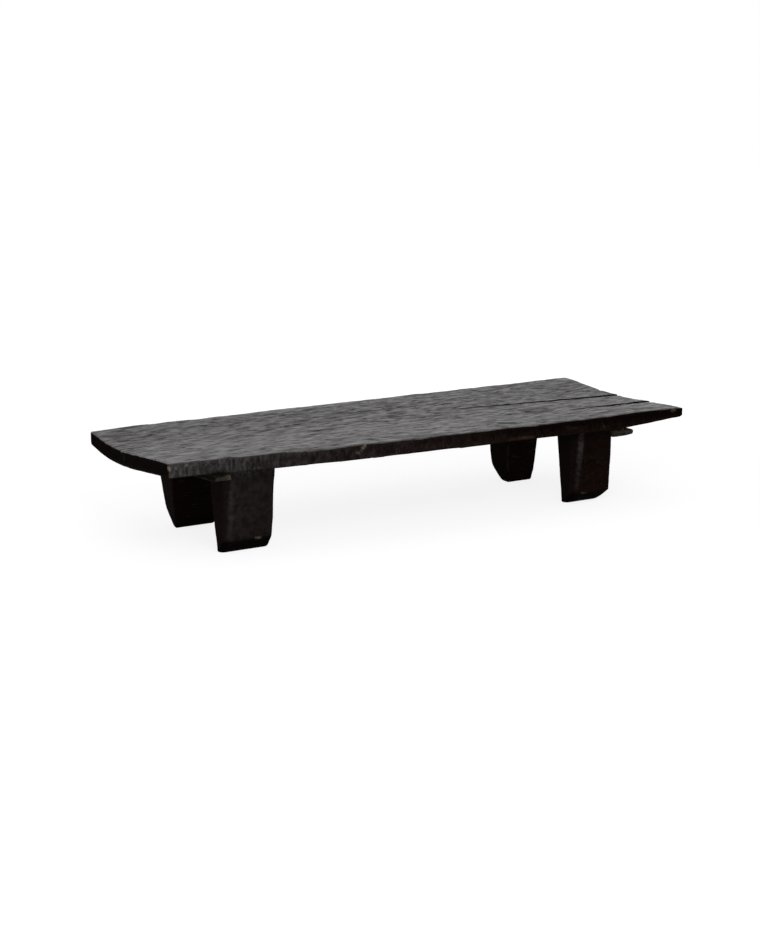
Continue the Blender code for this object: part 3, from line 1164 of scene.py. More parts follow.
@dataclass(frozen=True, kw_only=True)
class WoodFinish:
    """Old wood: flaky patches, streaks and checks along the grain, worn ridges, grimy hollows and bare chips."""

    name: str
    grain: Grain
    ground: Colour
    patch: Colour
    streak: Colour
    worn: Colour
    bare: Colour
    ends: Colour
    ends_share: float
    worn_share: float
    flake_share: float
    check_share: float
    flake_spread: float
    smoothest: float
    roughest: float
    specular: float
    grain_depth: float
    flake_depth: float
    pit_depth: float
    check_spread: float = 0.55
    mottle_spread: float = 0.44
    mottle: float = 0.0
    mottle_range: tuple[float, float] = (0.36, 0.64)
    end_range: tuple[float, float] = (0.55, 0.85)
    flake_range: tuple[float, float] = (0.42, 0.66)
    patch_band: Band = Band(0.35, 0.65)
    streak_band: Band = Band(0.46, 0.70, 0.0, 0.7)
    ridge_band: Band = Band(0.35, 0.62, 0.2)
    strip_band: Band = Band(0.38, 0.58, 0.3)
    chip_band: Band = Band(0.35, 0.60, 0.1)
    check_band: Band = Band(0.59, 0.67)
    grime_band: Band = Band(0.36, 0.60, 0.35, 0.90)
    grime_gloss: Band = Band(0.0, 1.0, 1.0, 0.1)
    grime_shade: float = 0.4
    grime_roughness: float = 0.25

    def ends_colour(self, sheet: Sheet) -> Paint:
        """The colour of the end grain."""
        return self.ends

    def rubbed_and_highlight_colour(self, sheet: Sheet) -> Paint:
        """The colour of rubbed strips, painted highlights and worn ridges."""
        return self.worn

    def spread(self, power: float) -> Point:
        """The grain's stretch, from none at a power of 0 to all of it at 1."""
        return tuple(part**power for part in self.grain.value)

    def patterns(self, sheet: Sheet) -> Patterns:
        """Adds the finish's noises.

        Args:
            sheet: The material's nodes.

        Returns:
            The noises.
        """
        return Patterns(
            streaks=sheet.noise(Noise(self.grain.value, scale=5.0, detail=6.0)),
            fibres=sheet.noise(Noise(self.grain.value, scale=26.0, detail=4.0)),
            flakes=sheet.noise(Noise(self.spread(self.flake_spread), scale=26.0, detail=6.0)),
            checks=sheet.noise(Noise(self.spread(self.check_spread), scale=21.0, detail=2.5)),
            mottles=sheet.noise(Noise(self.spread(self.mottle_spread), scale=18.0, detail=5.0)),
            patches=sheet.noise(Noise((1.0, 1.6, 1.6), scale=3.2, detail=4.0)),
            pits=sheet.noise(Noise((1.0, 1.0, 1.0), scale=70.0, detail=3.0)),
        )

    def weathered(self, sheet: Sheet, colour: Socket) -> Socket:
        """Changes the colour where the wood has had its own life: here only on the end grain.

        Args:
            sheet: The material's nodes.
            colour: The colour so far.

        Returns:
            The changed colour.
        """
        along = sheet.math("ABSOLUTE", sheet.facing[self.grain.axis])
        share = sheet.span(along, Band(*self.end_range, 0.0, self.ends_share))
        return sheet.mix(share, colour, self.ends_colour(sheet))

    def pigment(self, sheet: Sheet, noise: Patterns, grime: Socket) -> Socket:
        """The wood's colour, from its ground to its bare chips.

        Args:
            sheet: The material's nodes.
            noise: The finish's noises.
            grime: Where grime has settled.

        Returns:
            The colour.
        """
        colour = sheet.mix(sheet.span(noise.patches, self.patch_band), self.ground, self.patch)
        colour = sheet.mix(sheet.span(noise.streaks, self.streak_band), colour, self.streak)
        flakes = sheet.span(noise.flakes, Band(*self.flake_range, 0.0, self.flake_share))
        colour = self.weathered(sheet, sheet.mix(flakes, colour, self.worn))
        ridges = sheet.times(sheet.attribute("worn"), sheet.span(noise.fibres, self.ridge_band), self.worn_share)
        # Rubbed strips and painted highlights.
        strips = sheet.times(sheet.attribute("rub_and_highlight"), sheet.span(noise.flakes, self.strip_band))
        colour = sheet.mix(sheet.math("MAXIMUM", ridges, strips), colour, self.rubbed_and_highlight_colour(sheet))
        colour = sheet.mix(grime, colour, scaled(self.ground, self.grime_shade))
        chipped = sheet.times(sheet.attribute("chip"), sheet.span(noise.pits, self.chip_band))
        return sheet.mix(chipped, colour, self.bare)

    def relief(self, sheet: Sheet, noise: Patterns, lines: Socket) -> Socket:
        """The fine relief that is too small for the mesh.

        Args:
            sheet: The material's nodes.
            noise: The finish's noises.
            lines: Where the checks run.

        Returns:
            The bent normal.
        """
        height = sheet.times(noise.fibres, self.grain_depth)
        layers = (
            ("ADD", noise.streaks, self.grain_depth * 2),
            ("ADD", noise.flakes, self.flake_depth),
            ("SUBTRACT", noise.mottles, self.flake_depth),
            ("ADD", noise.pits, self.pit_depth),
            ("SUBTRACT", lines, self.grain_depth * 2),
        )
        for operation, pattern, depth in layers:
            height = sheet.math(operation, height, sheet.times(pattern, depth))
        return sheet.add("ShaderNodeBump", {"Strength": 1.0, "Distance": 1.0, "Height": height}).outputs[0]

    def material(self) -> bpy.types.Material:
        """The finish as a material.

        Returns:
            The material.
        """
        sheet = Sheet(self.name)
        noise = self.patterns(sheet)
        lines = sheet.span(noise.checks, self.check_band)
        grime = sheet.times(sheet.attribute("deep"), sheet.span(noise.mottles, self.grime_band))
        grime = sheet.math("MAXIMUM", grime, sheet.times(lines, self.check_share))
        rough = sheet.span(noise.mottles, Band(*self.mottle_range, self.smoothest, self.roughest))
        wired = {
            "Base Color": self.pigment(sheet, noise, grime),
            "Roughness": sheet.math("ADD", rough, sheet.times(grime, self.grime_roughness)),
            "Normal": self.relief(sheet, noise, lines),
        }
        sheet.shader.inputs["Specular IOR Level"].default_value = self.specular
        if self.mottle > 0.0:
            dull, bright = (self.specular * (1 + sign * self.mottle) for sign in (-1, 1))
            shine = sheet.span(noise.mottles, Band(*self.mottle_range, bright, dull))
            wired["Specular IOR Level"] = sheet.times(shine, sheet.span(grime, self.grime_gloss))
        for key, value in wired.items():
            sheet.tree.links.new(value, sheet.shader.inputs[key])
        return sheet.material


@dataclass(frozen=True, kw_only=True)
class HewnFinish(WoodFinish):
    """The bed's sides and legs: dusty grey with painted light on the front faces at the left, darker towards the
    bottom of the feet with painted shade on the foot bevels, with scratches from the adze.
    """

    dust_and_front_light: Colour
    scratch_and_highlight: Colour
    soil_and_shade: Colour
    flank: Colour
    heart: Colour
    deck_height: Band = Band(0.25, 0.285)
    front_facing: Band = Band(-0.9, -0.3, 1.0, 0.0)
    front_place: Band = Band(-0.16, -0.08, 1.0, 0.0)
    warm_run: Band = Band(-0.50, -0.10)
    dust_and_light_noise: Noise = Noise((1.2, 1.2, 0.9), scale=44.0, detail=5.0)
    dust_and_light_band: Band = Band(0.36, 0.62, 0.32)
    dust_and_light_left: Band = Band(-0.95, -0.45, 1.0, 0.24)
    dust_and_light_middle: Band = Band(-0.45, 0.45, 1.0, 0.0)
    leg_dust_and_light: float = 0.36
    scratch_brightness: float = 2.2
    stroke_noise: Noise = Noise((4.0, 2.0, 1.3), scale=19.0, detail=2.5, turn=(0.0, 0.60, 0.0), distortion=1.6)
    stroke_share: float = 0.9
    dark_strokes: Band = Band(0.34, 0.52, 0.7, 0.0)
    arc_level: float = 0.55
    arc_band: Band = Band(0.0, 0.020, 1.0, 0.0)
    arc_height: Band = Band(0.308, 0.326, 1.0, 0.15)
    arc_breaks: Band = Band(0.4, 1.0)
    dark_height: Band = Band(0.304, 0.324, 0.15, 0.75)
    dark_run: Band = Band(-0.20, 0.45)
    inner_facing: Band = Band(-0.9, -0.6, 1.0, 0.0)
    inner_place: Band = Band(0.10, 0.14)
    heart_run: Band = Band(-0.4, 0.4, 0.3, 0.85)
    splinter_noise: Noise = Noise((1.0, 5.0, 10.0), scale=14.0, detail=2.0)
    splinter_band: Band = Band(0.62, 0.67, 0.0, 0.6)
    speck_noise: Noise = Noise((1.0, 1.0, 1.0), scale=150.0, detail=2.0)
    speck_band: Band = Band(0.56, 0.70, 0.0, 0.50)
    speck_run: Band = Band(0.0, 0.5)
    speck_height: Band = Band(0.10, 0.26, 1.0, 0.3)
    bevel_facing: Band = Band(-0.45, -0.15, 0.9, 0.0)
    bevel_top: Band = Band(0.044, 0.056, 1.0, 0.0)
    foot_height: Band = Band(0.0, 0.04, 0.7, 0.0)

    def ends_colour(self, sheet: Sheet) -> Paint:
        """Dark on the deck's ends, and browner on the flanks of the legs."""
        return sheet.mix(self.on_deck(sheet), self.flank, self.ends)

    def rubbed_and_highlight_colour(self, sheet: Sheet) -> Paint:
        """Grey on the legs and at the front left, and warm brown along the rest of the deck's edge, for rubbed
        strips and painted highlights.
        """
        warm = sheet.times(sheet.span(sheet.along[0], self.warm_run), self.on_deck(sheet))
        return sheet.mix(warm, self.worn, self.scratch_and_highlight)

    def on_deck(self, sheet: Sheet) -> Socket:
        """A share that is 1 on the deck and 0 on the legs."""
        return sheet.span(sheet.along[2], self.deck_height)

    def front(self, sheet: Sheet) -> Socket:
        """A share that is 1 on the faces at the front of the bed."""
        facing = sheet.span(sheet.facing[1], self.front_facing)
        return sheet.times(facing, sheet.span(sheet.along[1], self.front_place))

    def weathered(self, sheet: Sheet, colour: Socket) -> Socket:
        """Adds dusting and painted front light, the scratches, and the dark feet with painted shade on their
        bevels, to the darker end grain.
        """
        colour = super().weathered(sheet, self.dusted_and_front_lit(sheet, colour))
        return self.soiled_and_shaded(sheet, self.splintered(sheet, colour))

    def dusted_and_front_lit(self, sheet: Sheet, colour: Socket) -> Socket:
        """Dust with painted light on the faces that turn to the front, adze scratches and a dark upper band on the
        front edge.

        Args:
            sheet: The material's nodes.
            colour: The colour so far.

        Returns:
            The changed colour.
        """
        x, _, z = sheet.along
        on_deck = self.on_deck(sheet)
        front = self.front(sheet)
        # Painted light: the grey on faces turned to the front, strongest towards the left end, is partly dust and
        # partly light from the front painted into the colour.
        left = sheet.times(sheet.span(x, self.dust_and_light_left), sheet.span(x, self.dust_and_light_middle))
        left = sheet.times(left, sheet.math("MAXIMUM", on_deck, self.leg_dust_and_light))
        broken = sheet.span(sheet.noise(self.dust_and_light_noise), self.dust_and_light_band)
        colour = sheet.mix(sheet.times(left, front, broken), colour, self.dust_and_front_light)
        strokes = sheet.noise(self.stroke_noise)
        shown = sheet.times(on_deck, front, self.stroke_share)
        colour = sheet.mix(sheet.times(sheet.span(strokes, self.dark_strokes), shown), colour, self.soil_and_shade)
        arcs = sheet.span(sheet.math("ABSOLUTE", sheet.math("SUBTRACT", strokes, self.arc_level)), self.arc_band)
        low = sheet.math("MAXIMUM", left, sheet.span(z, self.arc_height))
        light = sheet.times(arcs, shown, low, sheet.span(broken, self.arc_breaks))
        colour = sheet.mix(light, colour, sheet.mix(left, self.scratch_and_highlight, scaled(self.dust_and_front_light, self.scratch_brightness)))
        dark = sheet.times(on_deck, front, sheet.span(z, self.dark_height), sheet.span(x, self.dark_run))
        return sheet.mix(dark, colour, self.soil_and_shade)

    def splintered(self, sheet: Sheet, colour: Socket) -> Socket:
        """Reddish heartwood and splinters on the back legs' inner faces, and specks at the front right.

        Args:
            sheet: The material's nodes.
            colour: The colour so far.

        Returns:
            The changed colour.
        """
        x, y, z = sheet.along
        inner = sheet.times(sheet.span(sheet.facing[1], self.inner_facing), sheet.span(y, self.inner_place))
        colour = sheet.mix(sheet.times(inner, sheet.span(x, self.heart_run)), colour, self.heart)
        splinters = sheet.span(sheet.noise(self.splinter_noise), self.splinter_band)
        colour = sheet.mix(sheet.times(inner, splinters), colour, self.scratch_and_highlight)
        specks = sheet.times(sheet.span(sheet.noise(self.speck_noise), self.speck_band), self.front(sheet))
        specks = sheet.times(specks, sheet.span(x, self.speck_run), sheet.span(z, self.speck_height))
        return sheet.mix(specks, colour, self.scratch_and_highlight)

    def soiled_and_shaded(self, sheet: Sheet, colour: Socket) -> Socket:
        """Darker towards the bottom of the feet, and painted shade on the foot bevels that face down.

        Args:
            sheet: The material's nodes.
            colour: The colour so far.

        Returns:
            The changed colour.
        """
        z = sheet.along[2]
        # Painted shade on the foot bevels that face down; below them the feet grow darker towards the floor.
        bevel = sheet.times(sheet.span(sheet.facing[2], self.bevel_facing), sheet.span(z, self.bevel_top))
        return sheet.mix(sheet.math("MAXIMUM", bevel, sheet.span(z, self.foot_height)), colour, self.soil_and_shade)


@dataclass(frozen=True, kw_only=True)
class SlabFinish(WoodFinish):
    """A split slab whose upper face is paler, partly from bleaching and partly as painted light."""

    bleached_and_lit: Colour
    bleached_and_lit_facing: Band = Band(0.5, 0.8, 0.0, 0.9)

    def weathered(self, sheet: Sheet, colour: Socket) -> Socket:
        """Makes the upper face paler: bleaching, and painted light to lift it out of the deck's shade."""
        colour = super().weathered(sheet, colour)
        return sheet.mix(sheet.span(sheet.facing[2], self.bleached_and_lit_facing), colour, self.bleached_and_lit)


DECK_TOP_FINISH = WoodFinish(
    name="worn_deck_top",
    grain=Grain.ALONG_BED,
    ground=(0.0120, 0.0092, 0.0088),
    patch=(0.0165, 0.0130, 0.0126),
    streak=(0.0210, 0.0178, 0.0175),
    worn=(0.0520, 0.0420, 0.0430),
    bare=(0.2600, 0.2300, 0.2000),
    ends=(0.0075, 0.0064, 0.0061),
    ends_share=0.0,
    worn_share=0.60,
    flake_share=0.40,
    check_share=0.80,
    check_spread=0.46,
    flake_spread=0.34,
    mottle=0.64,
    smoothest=0.36,
    roughest=0.60,
    specular=0.50,
    grain_depth=0.00020,
    flake_depth=0.00100,
    pit_depth=0.00010,
)
HEWN_FINISH = HewnFinish(
    name="hewn_bed_sides",
    grain=Grain.ALONG_BED,
    ground=(0.0036, 0.0017, 0.0013),
    patch=(0.0060, 0.0028, 0.0021),
    streak=(0.0066, 0.0035, 0.0027),
    # Grey of flakes and worn ridges, and of the painted highlights on the front legs' chamfers and the deck's
    # front-left edge.
    worn=(0.0340, 0.0285, 0.0290),
    bare=(0.1700, 0.1350, 0.1100),
    ends=(0.0020, 0.0011, 0.0009),
    ends_share=0.80,
    worn_share=0.22,
    flake_share=0.05,
    check_share=0.25,
    flake_spread=0.22,
    smoothest=0.72,
    roughest=0.90,
    specular=0.006,
    grain_depth=0.00030,
    flake_depth=0.00040,
    pit_depth=0.00015,
    # Grey of the front faces: dusting, and painted light from the front.
    dust_and_front_light=(0.0510, 0.0463, 0.0477),
    # Warm brown of the scratches, and of the painted highlights along the deck's front edge towards the right.
    scratch_and_highlight=(0.0360, 0.0205, 0.0135),
    # Dark adze strokes, the dark band on the front edge, the dark feet and the painted shade on the foot bevels.
    soil_and_shade=(0.0016, 0.0009, 0.0007),
    flank=(0.0072, 0.0044, 0.0037),
    heart=(0.0110, 0.0044, 0.0044),
)
STRIP_FINISH = WoodFinish(
    name="weathered_strip",
    grain=Grain.ACROSS_BED,
    ground=(0.0030, 0.0021, 0.0017),
    patch=(0.0050, 0.0036, 0.0029),
    streak=(0.0085, 0.0064, 0.0052),
    worn=(0.0300, 0.0240, 0.0200),
    bare=(0.0800, 0.0650, 0.0540),
    ends=(0.0150, 0.0120, 0.0100),
    ends_share=0.85,
    worn_share=0.60,
    flake_share=0.10,
    check_share=0.60,
    flake_spread=0.60,
    smoothest=0.65,
    roughest=0.85,
    specular=0.012,
    grain_depth=0.00035,
    flake_depth=0.00030,
    pit_depth=0.00015,
)
SLAB_FINISH = SlabFinish(
    name="weathered_slab",
    grain=Grain.ACROSS_BED,
    ground=(0.0050, 0.0036, 0.0028),
    patch=(0.0085, 0.0064, 0.0050),
    streak=(0.0140, 0.0110, 0.0090),
    worn=(0.0900, 0.0740, 0.0590),
    bare=(0.0800, 0.0650, 0.0540),
    ends=(0.0250, 0.0205, 0.0165),
    ends_share=0.80,
    worn_share=0.70,
    flake_share=0.45,
    check_share=0.70,
    flake_spread=0.60,
    smoothest=0.65,
    roughest=0.85,
    specular=0.015,
    grain_depth=0.00045,
    flake_depth=0.00040,
    pit_depth=0.00020,
    # Pale upper face: bleaching, raised as painted light against the shade under the deck.
    bleached_and_lit=(0.2600, 0.2150, 0.1700),
)
PEG_FINISH = WoodFinish(
    name="whittled_peg",
    grain=Grain.UPRIGHT,
    ground=(0.0200, 0.0140, 0.0100),
    patch=(0.0300, 0.0215, 0.0160),
    streak=(0.0450, 0.0340, 0.0260),
    worn=(0.0750, 0.0580, 0.0450),
    bare=(0.1800, 0.1450, 0.1100),
    ends=(0.0600, 0.0460, 0.0350),
    ends_share=0.60,
    worn_share=0.60,
    flake_share=0.20,
    check_share=0.50,
    flake_spread=0.22,
    smoothest=0.60,
    roughest=0.80,
    specular=0.15,
    grain_depth=0.00020,
    flake_depth=0.00010,
    pit_depth=0.00010,
)


def cut_chips(points: np.ndarray, chips: tuple[Chip, ...]) -> np.ndarray:
    """Cuts the chips into a mesh's points, in place.

    Args:
        points: One row for each point.
        chips: The scars to cut.

    Returns:
        How bare each point is, between 0 and 1.
    """
    bare = np.zeros(len(points))
    for chip in chips:
        away = np.linalg.norm(points - np.array(chip.place), axis=1) / chip.radius
        inside = np.clip(1 - away * away, 0.0, 1.0)
        points += inside[:, None] * chip.depth * np.array(chip.inward)
        bare = np.maximum(bare, chip.bare * smooth(inside * CHIP_FULLNESS))
    return bare


def find_ridges(mesh: bpy.types.Mesh, points: np.ndarray) -> np.ndarray:
    """How far every point stands out from its neighbours.

    Args:
        mesh: The piece's mesh.
        points: Its points, one row each.

    Returns:
        Slopes, above 0 on a ridge and below 0 in a hollow.
    """
    count = len(points)
    normals = np.empty(count * 3)
    mesh.vertex_normals.foreach_get("vector", normals)
    normals = normals.reshape(-1, 3)
    ends = np.empty(len(mesh.edges) * 2, np.int32)
    mesh.edges.foreach_get("vertices", ends)
    one, two = ends.reshape(-1, 2).T
    step = points[two] - points[one]
    length = np.maximum(np.linalg.norm(step, axis=1), SHORTEST_EDGE)
    from_one = -np.einsum("ij,ij->i", normals[one], step) / length
    from_two = np.einsum("ij,ij->i", normals[two], step) / length
    near = np.maximum(np.bincount(one, minlength=count) + np.bincount(two, minlength=count), 1)
    ridge = (np.bincount(one, from_one, count) + np.bincount(two, from_two, count)) / near
    around = np.bincount(one, ridge[two], count) + np.bincount(two, ridge[one], count)
    return OWN_RIDGE * ridge + (1 - OWN_RIDGE) * around / near


def mark_wear_and_highlights(
    mesh: bpy.types.Mesh,
    strength: float,
    chips: tuple[Chip, ...] = (),
    rubs_and_highlights: tuple[StripMask, ...] = (),
    stains: tuple[StripMask, ...] = (),
) -> None:
    """Cuts the chips, then stores how far every point stands out as a ridge, how bare it is, and how far it lies
    in the rubbed strips and painted highlights.

    Args:
        mesh: The piece's mesh.
        strength: How readily a ridge counts as worn.
        chips: The scars to cut.
        rubs_and_highlights: The strips rubbed paler, and the painted highlights.
        stains: The places where grime has settled.
    """
    points = np.empty(len(mesh.vertices) * 3)
    mesh.vertices.foreach_get("co", points)
    points = points.reshape(-1, 3)
    bare = cut_chips(points, chips)
    mesh.vertices.foreach_set("co", points.ravel())
    mesh.update()
    ridge = find_ridges(mesh, points) * strength
    rubbed = np.max([np.zeros(len(points)), *(rub_and_highlight.cover(points) for rub_and_highlight in rubs_and_highlights)], axis=0)
    deep = np.max([np.clip(-ridge, 0, 1), *(stain.cover(points) for stain in stains)], axis=0)
    marks = {"worn": np.clip(ridge, 0, 1), "deep": deep, "chip": bare, "rub_and_highlight": rubbed}
    for name, values in marks.items():
        mesh.attributes.new(name, "FLOAT", "POINT").data.foreach_set("value", values.astype(np.float32))


def shade(mesh: bpy.types.Mesh, angle: float) -> None:
    """Smooth shading, broken at edges sharper than the angle in degrees."""
    mesh.shade_smooth()
    mesh.set_sharp_from_angle(angle=math.radians(angle))


@dataclass
class CarvedBed:
    """Deck and legs, cut from one log."""

    deck: Deck
    legs: tuple[BlockLeg, ...]
    chips: tuple[Chip, ...]
    rubs_and_highlights: tuple[StripMask, ...]
    stains: tuple[StripMask, ...]
    wear: float = 4.0
    crease: float = 40.0
    least_up: float = 0.5

    def build(self) -> bpy.types.Object:
        """The bed as one closed body.

        Returns:
            The bed.
        """
        bed = link_body("bed", self.deck.build())
        for leg in self.legs:
            tool = link_body(leg.name, leg.build(self.deck))
            joint = bed.modifiers.new(leg.name, "BOOLEAN")
            joint.operation = "UNION"
            joint.solver = "MANIFOLD"
            joint.object = tool
        graph = bpy.context.evaluated_depsgraph_get()
        joined = bpy.data.meshes.new_from_object(bed.evaluated_get(graph))
        bed.modifiers.clear()
        bed.data = joined
        for leg in self.legs:
            bpy.data.objects.remove(bpy.data.objects[leg.name], do_unlink=True)
        mark_wear_and_highlights(joined, self.wear, self.chips, self.rubs_and_highlights, self.stains)
        shade(joined, self.crease)
        return bed

    def dress(self, bed: bpy.types.Object, top: WoodFinish, hewn: WoodFinish) -> None:
        """Gives the bed its two finishes.

        Args:
            bed: The bed.
            top: The finish of the upper face.
            hewn: The finish of all other faces.
        """
        mesh = bed.data
        mesh.materials.clear()
        mesh.materials.append(top.material())
        mesh.materials.append(hewn.material())
        normals = np.empty(len(mesh.polygons) * 3)
        centres = np.empty(len(mesh.polygons) * 3)
        mesh.polygons.foreach_get("normal", normals)
        mesh.polygons.foreach_get("center", centres)
        up = normals[2::3]
        x, y, z = centres.reshape(-1, 3).T
        upper = (up > self.least_up) & (z > (self.deck.top(x, y) + self.deck.underside(x, y)) / 2)
        slots = np.where(upper, Face.TOP.value, Face.HEWN.value)
        mesh.polygons.foreach_set("material_index", slots.astype(np.int32))
        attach(bed, "root")
        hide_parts("carved_bed")


@dataclass
class Batten:
    """A cross batten: a section swept from front to back under the deck, with tool marks below."""

    node: str
    name: str
    middle: float
    overhang: float
    width: float
    thickness: float
    housing: float
    stations: int
    points: int
    passes: int
    girth: float
    blend: float
    ease: float
    marks: ToolMarks
    bend: Ripple
    peg_places: tuple[float, ...]
    peg_seed: int
    peg_proud: float = 0.004
    peg_grip: float = 0.022
    ease_share: float = 0.8
    ease_steps: int = 2
    lane: float = 0.5
    wear: float = 3.0
    crease: float = 35.0

    def top(self, deck: Deck, y: float) -> float:
        """The height of the batten's upper face."""
        raise NotImplementedError

    def corners(self, from_end: float) -> np.ndarray:
        """The section's corners below the upper face, anticlockwise, at a distance from the end."""
        raise NotImplementedError

    def chips(self, deck: Deck) -> tuple[Chip, ...]:
        """The scars on the batten's front end."""
        return ()

    def rubs_and_highlights(self, deck: Deck) -> tuple[StripMask, ...]:
        """The rubbed strips and painted highlights on the batten's front end."""
        return ()

    def reach(self, deck: Deck) -> float:
        """Half the batten's length."""
        return float(deck.half_width(self.middle)) + self.overhang

    def build(self, deck: Deck) -> bpy.types.Object:
        """The batten's body.

        Args:
            deck: The deck above.

        Returns:
            The batten.
        """
        reach = self.reach(deck)
        run = np.arange(self.points) / self.points * self.girth
        rings = []
        for step, y in enumerate(reach * np.linspace(-1.0, 1.0, self.stations + 1)):
            ring = soften(self.corners(reach - abs(y)), self.points, self.passes)
            below = smooth(-ring[:, 1] / self.blend)
            ring = ring + outward(ring) * ((self.marks.rise(y, run) - self.marks.depth) * below)[:, None]
            from_end = min(step, self.stations - step)
            ease = self.ease * max(0.0, 1 - from_end / self.ease_steps)
            ring = ring - outward(ring) * ease * self.ease_share
            x = self.middle + ring[:, 0] + float(self.bend.height(y, self.lane))
            rings.append(np.stack([x, np.full(self.points, y), self.top(deck, y) + ring[:, 1]], axis=1))
        mesh = loft(self.name, np.stack(rings))
        mark_wear_and_highlights(mesh, self.wear, self.chips(deck), self.rubs_and_highlights(deck))
        shade(mesh, self.crease)
        return link_body(self.name, mesh)


@dataclass
class StripBatten(Batten):
    """The left batten: a strip that follows the belly and stands out past both edges."""

    node: str = "left_batten"
    name: str = "left_batten_strip"
    middle: float = -0.8345
    overhang: float = 0.040
    width: float = 0.055
    thickness: float = 0.024
    housing: float = 0.004
    stations: int = 150
    points: int = 44
    passes: int = 2
    girth: float = 0.155
    blend: float = 0.006
    ease: float = 0.0030
    marks: ToolMarks = ToolMarks(0.070, 0.020, 0.0010, 0.0012, 201)
    bend: Ripple = Ripple(0.0022, 0.19, 203)
    peg_places: tuple[float, ...] = (-0.66, -0.20, 0.20, 0.66)
    peg_seed: int = 301
    shave: float = 0.006
    shave_length: float = 0.050

    def top(self, deck: Deck, y: float) -> float:
        """The height of the batten's upper face, let into the belly."""
        return float(deck.underside(self.middle, y)) + self.housing

    def corners(self, from_end: float) -> np.ndarray:
        """The section's corners, shaved thinner towards the ends.

        Args:
            from_end: The distance from the batten's end.

        Returns:
            The corners, one row each.
        """
        half = self.width / 2
        low = self.thickness - self.shave * (1 - float(smooth(from_end / self.shave_length)))
        return np.array([(-half, 0.0), (-half, -low), (half, -low), (half, 0.0)])

    def chips(self, deck: Deck) -> tuple[Chip, ...]:
        """The scars on the batten's front end.

        Args:
            deck: The deck above.

        Returns:
            The scars.
        """
        reach = self.reach(deck)
        top = self.top(deck, -reach)
        return (
            Chip((self.middle + 0.018, -reach, top - 0.004), 0.016, 0.003, (0.0, 0.9, 0.0), 0.5),
            Chip((self.middle - 0.020, -reach, top - 0.016), 0.012, 0.004, (0.3, 0.9, 0.0), 0.4),
        )


@dataclass
class SlabBatten(Batten):
    """The right batten: a straight split slab, flat above and rounded below."""

    node: str = "right_batten"
    name: str = "right_batten_slab"
    middle: float = 0.811
    overhang: float = -0.108
    width: float = 0.106
    thickness: float = 0.024
    housing: float = 0.002
    stations: int = 110
    points: int = 52
    passes: int = 1
    girth: float = 0.23
    blend: float = 0.008
    ease: float = 0.0040
    marks: ToolMarks = ToolMarks(0.080, 0.024, 0.0014, 0.0014, 211)
    bend: Ripple = Ripple(0.0025, 0.17, 213)
    peg_places: tuple[float, ...] = (-0.74, -0.24, 0.24, 0.74)
    peg_seed: int = 311
    thin_edge: float = 0.010
    fullness: float = 0.28
    round_points: int = 24
    arris: float = 0.003

    def top(self, deck: Deck, y: float) -> float:
        """The height of the batten's flat upper face, let into the lowest part of the belly."""
        return float(deck.underside(self.middle, 0.0)) + self.housing

    def corners(self, from_end: float) -> np.ndarray:
        """The section's corners, the same from end to end.

        Args:
            from_end: The distance from the batten's end; not used here.

        Returns:
            The corners, one row each.
        """
        half = self.width / 2
        turns = np.linspace(0.0, math.pi, self.round_points)
        drop = self.thin_edge + (self.thickness - self.thin_edge) * np.sin(turns) ** self.fullness
        round_side = np.stack([-half * np.cos(turns), -drop], axis=1)
        return np.vstack([[(-half, 0.0)], round_side, [(half, 0.0)]])

    def rubs_and_highlights(self, deck: Deck) -> tuple[StripMask, ...]:
        """A painted highlight along the upper arris of the batten's front end.

        Args:
            deck: The deck above.

        Returns:
            The highlighted strip.
        """
        y = -self.reach(deck)
        z = self.top(deck, y) - self.arris
        return (StripMask((self.middle - self.width / 2, y, z), (self.middle + self.width / 2, y, z), 0.004, 0.9),)


@dataclass
class Peg:
    """A whittled peg, driven up through a batten into the deck."""

    node: str
    x: float
    y: float
    low: float
    high: float
    seed: int
    butt_radius: float = 0.0070
    tip_radius: float = 0.0055
    sides: int = 20
    flat_depth: float = 0.07
    flat_turns: float = 3.5
    bruise_depth: float = 0.0007
    bruise_height: float = 0.003
    bruise_turns: float = 1.3
    bruise_rows: float = 400.0
    rises: tuple[float, ...] = (0.0, 0.0006, 0.0018, 0.0040, 0.0120, 0.0300, 1.0)
    spreads: tuple[float, ...] = (0.55, 0.82, 0.97, 1.0, 1.0, 1.0, 0.9)
    wear: float = 1.5
    crease: float = 30.0

    def build(self) -> bpy.types.Object:
        """The peg's body, with flats from the knife and a bruised butt.

        Returns:
            The peg.
        """
        turns = np.arange(self.sides) / self.sides * 2 * math.pi
        flats = 1 - self.flat_depth * np.abs(np.sin(turns * self.flat_turns + self.seed))
        rings = []
        for rise, share in zip(self.rises, self.spreads):
            z = min(self.low + rise, self.high)
            along = (z - self.low) / (self.high - self.low)
            radius = (self.butt_radius + (self.tip_radius - self.butt_radius) * along) * share * flats
            bruise = self.bruise_depth * drift(turns * self.bruise_turns, rise * self.bruise_rows, self.seed)
            lift = np.abs(bruise) * (rise < self.bruise_height)
            rings.append(
                np.stack([self.x + radius * np.cos(turns), self.y + radius * np.sin(turns), z + lift], axis=1)
            )
        mesh = loft(f"{self.node}_whittled", np.stack(rings))
        mark_wear_and_highlights(mesh, self.wear)
        shade(mesh, self.crease)
        return link_body(f"{self.node}_whittled", mesh)


def dress_piece(piece: bpy.types.Object, node: str, material: bpy.types.Material) -> None:
    """Gives a single-finish piece its material and its place in the frame.

    Args:
        piece: The piece.
        node: The frame's node that it stands in for.
        material: The finish.
    """
    piece.data.materials.append(material)
    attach(piece, "root")
    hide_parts(node)


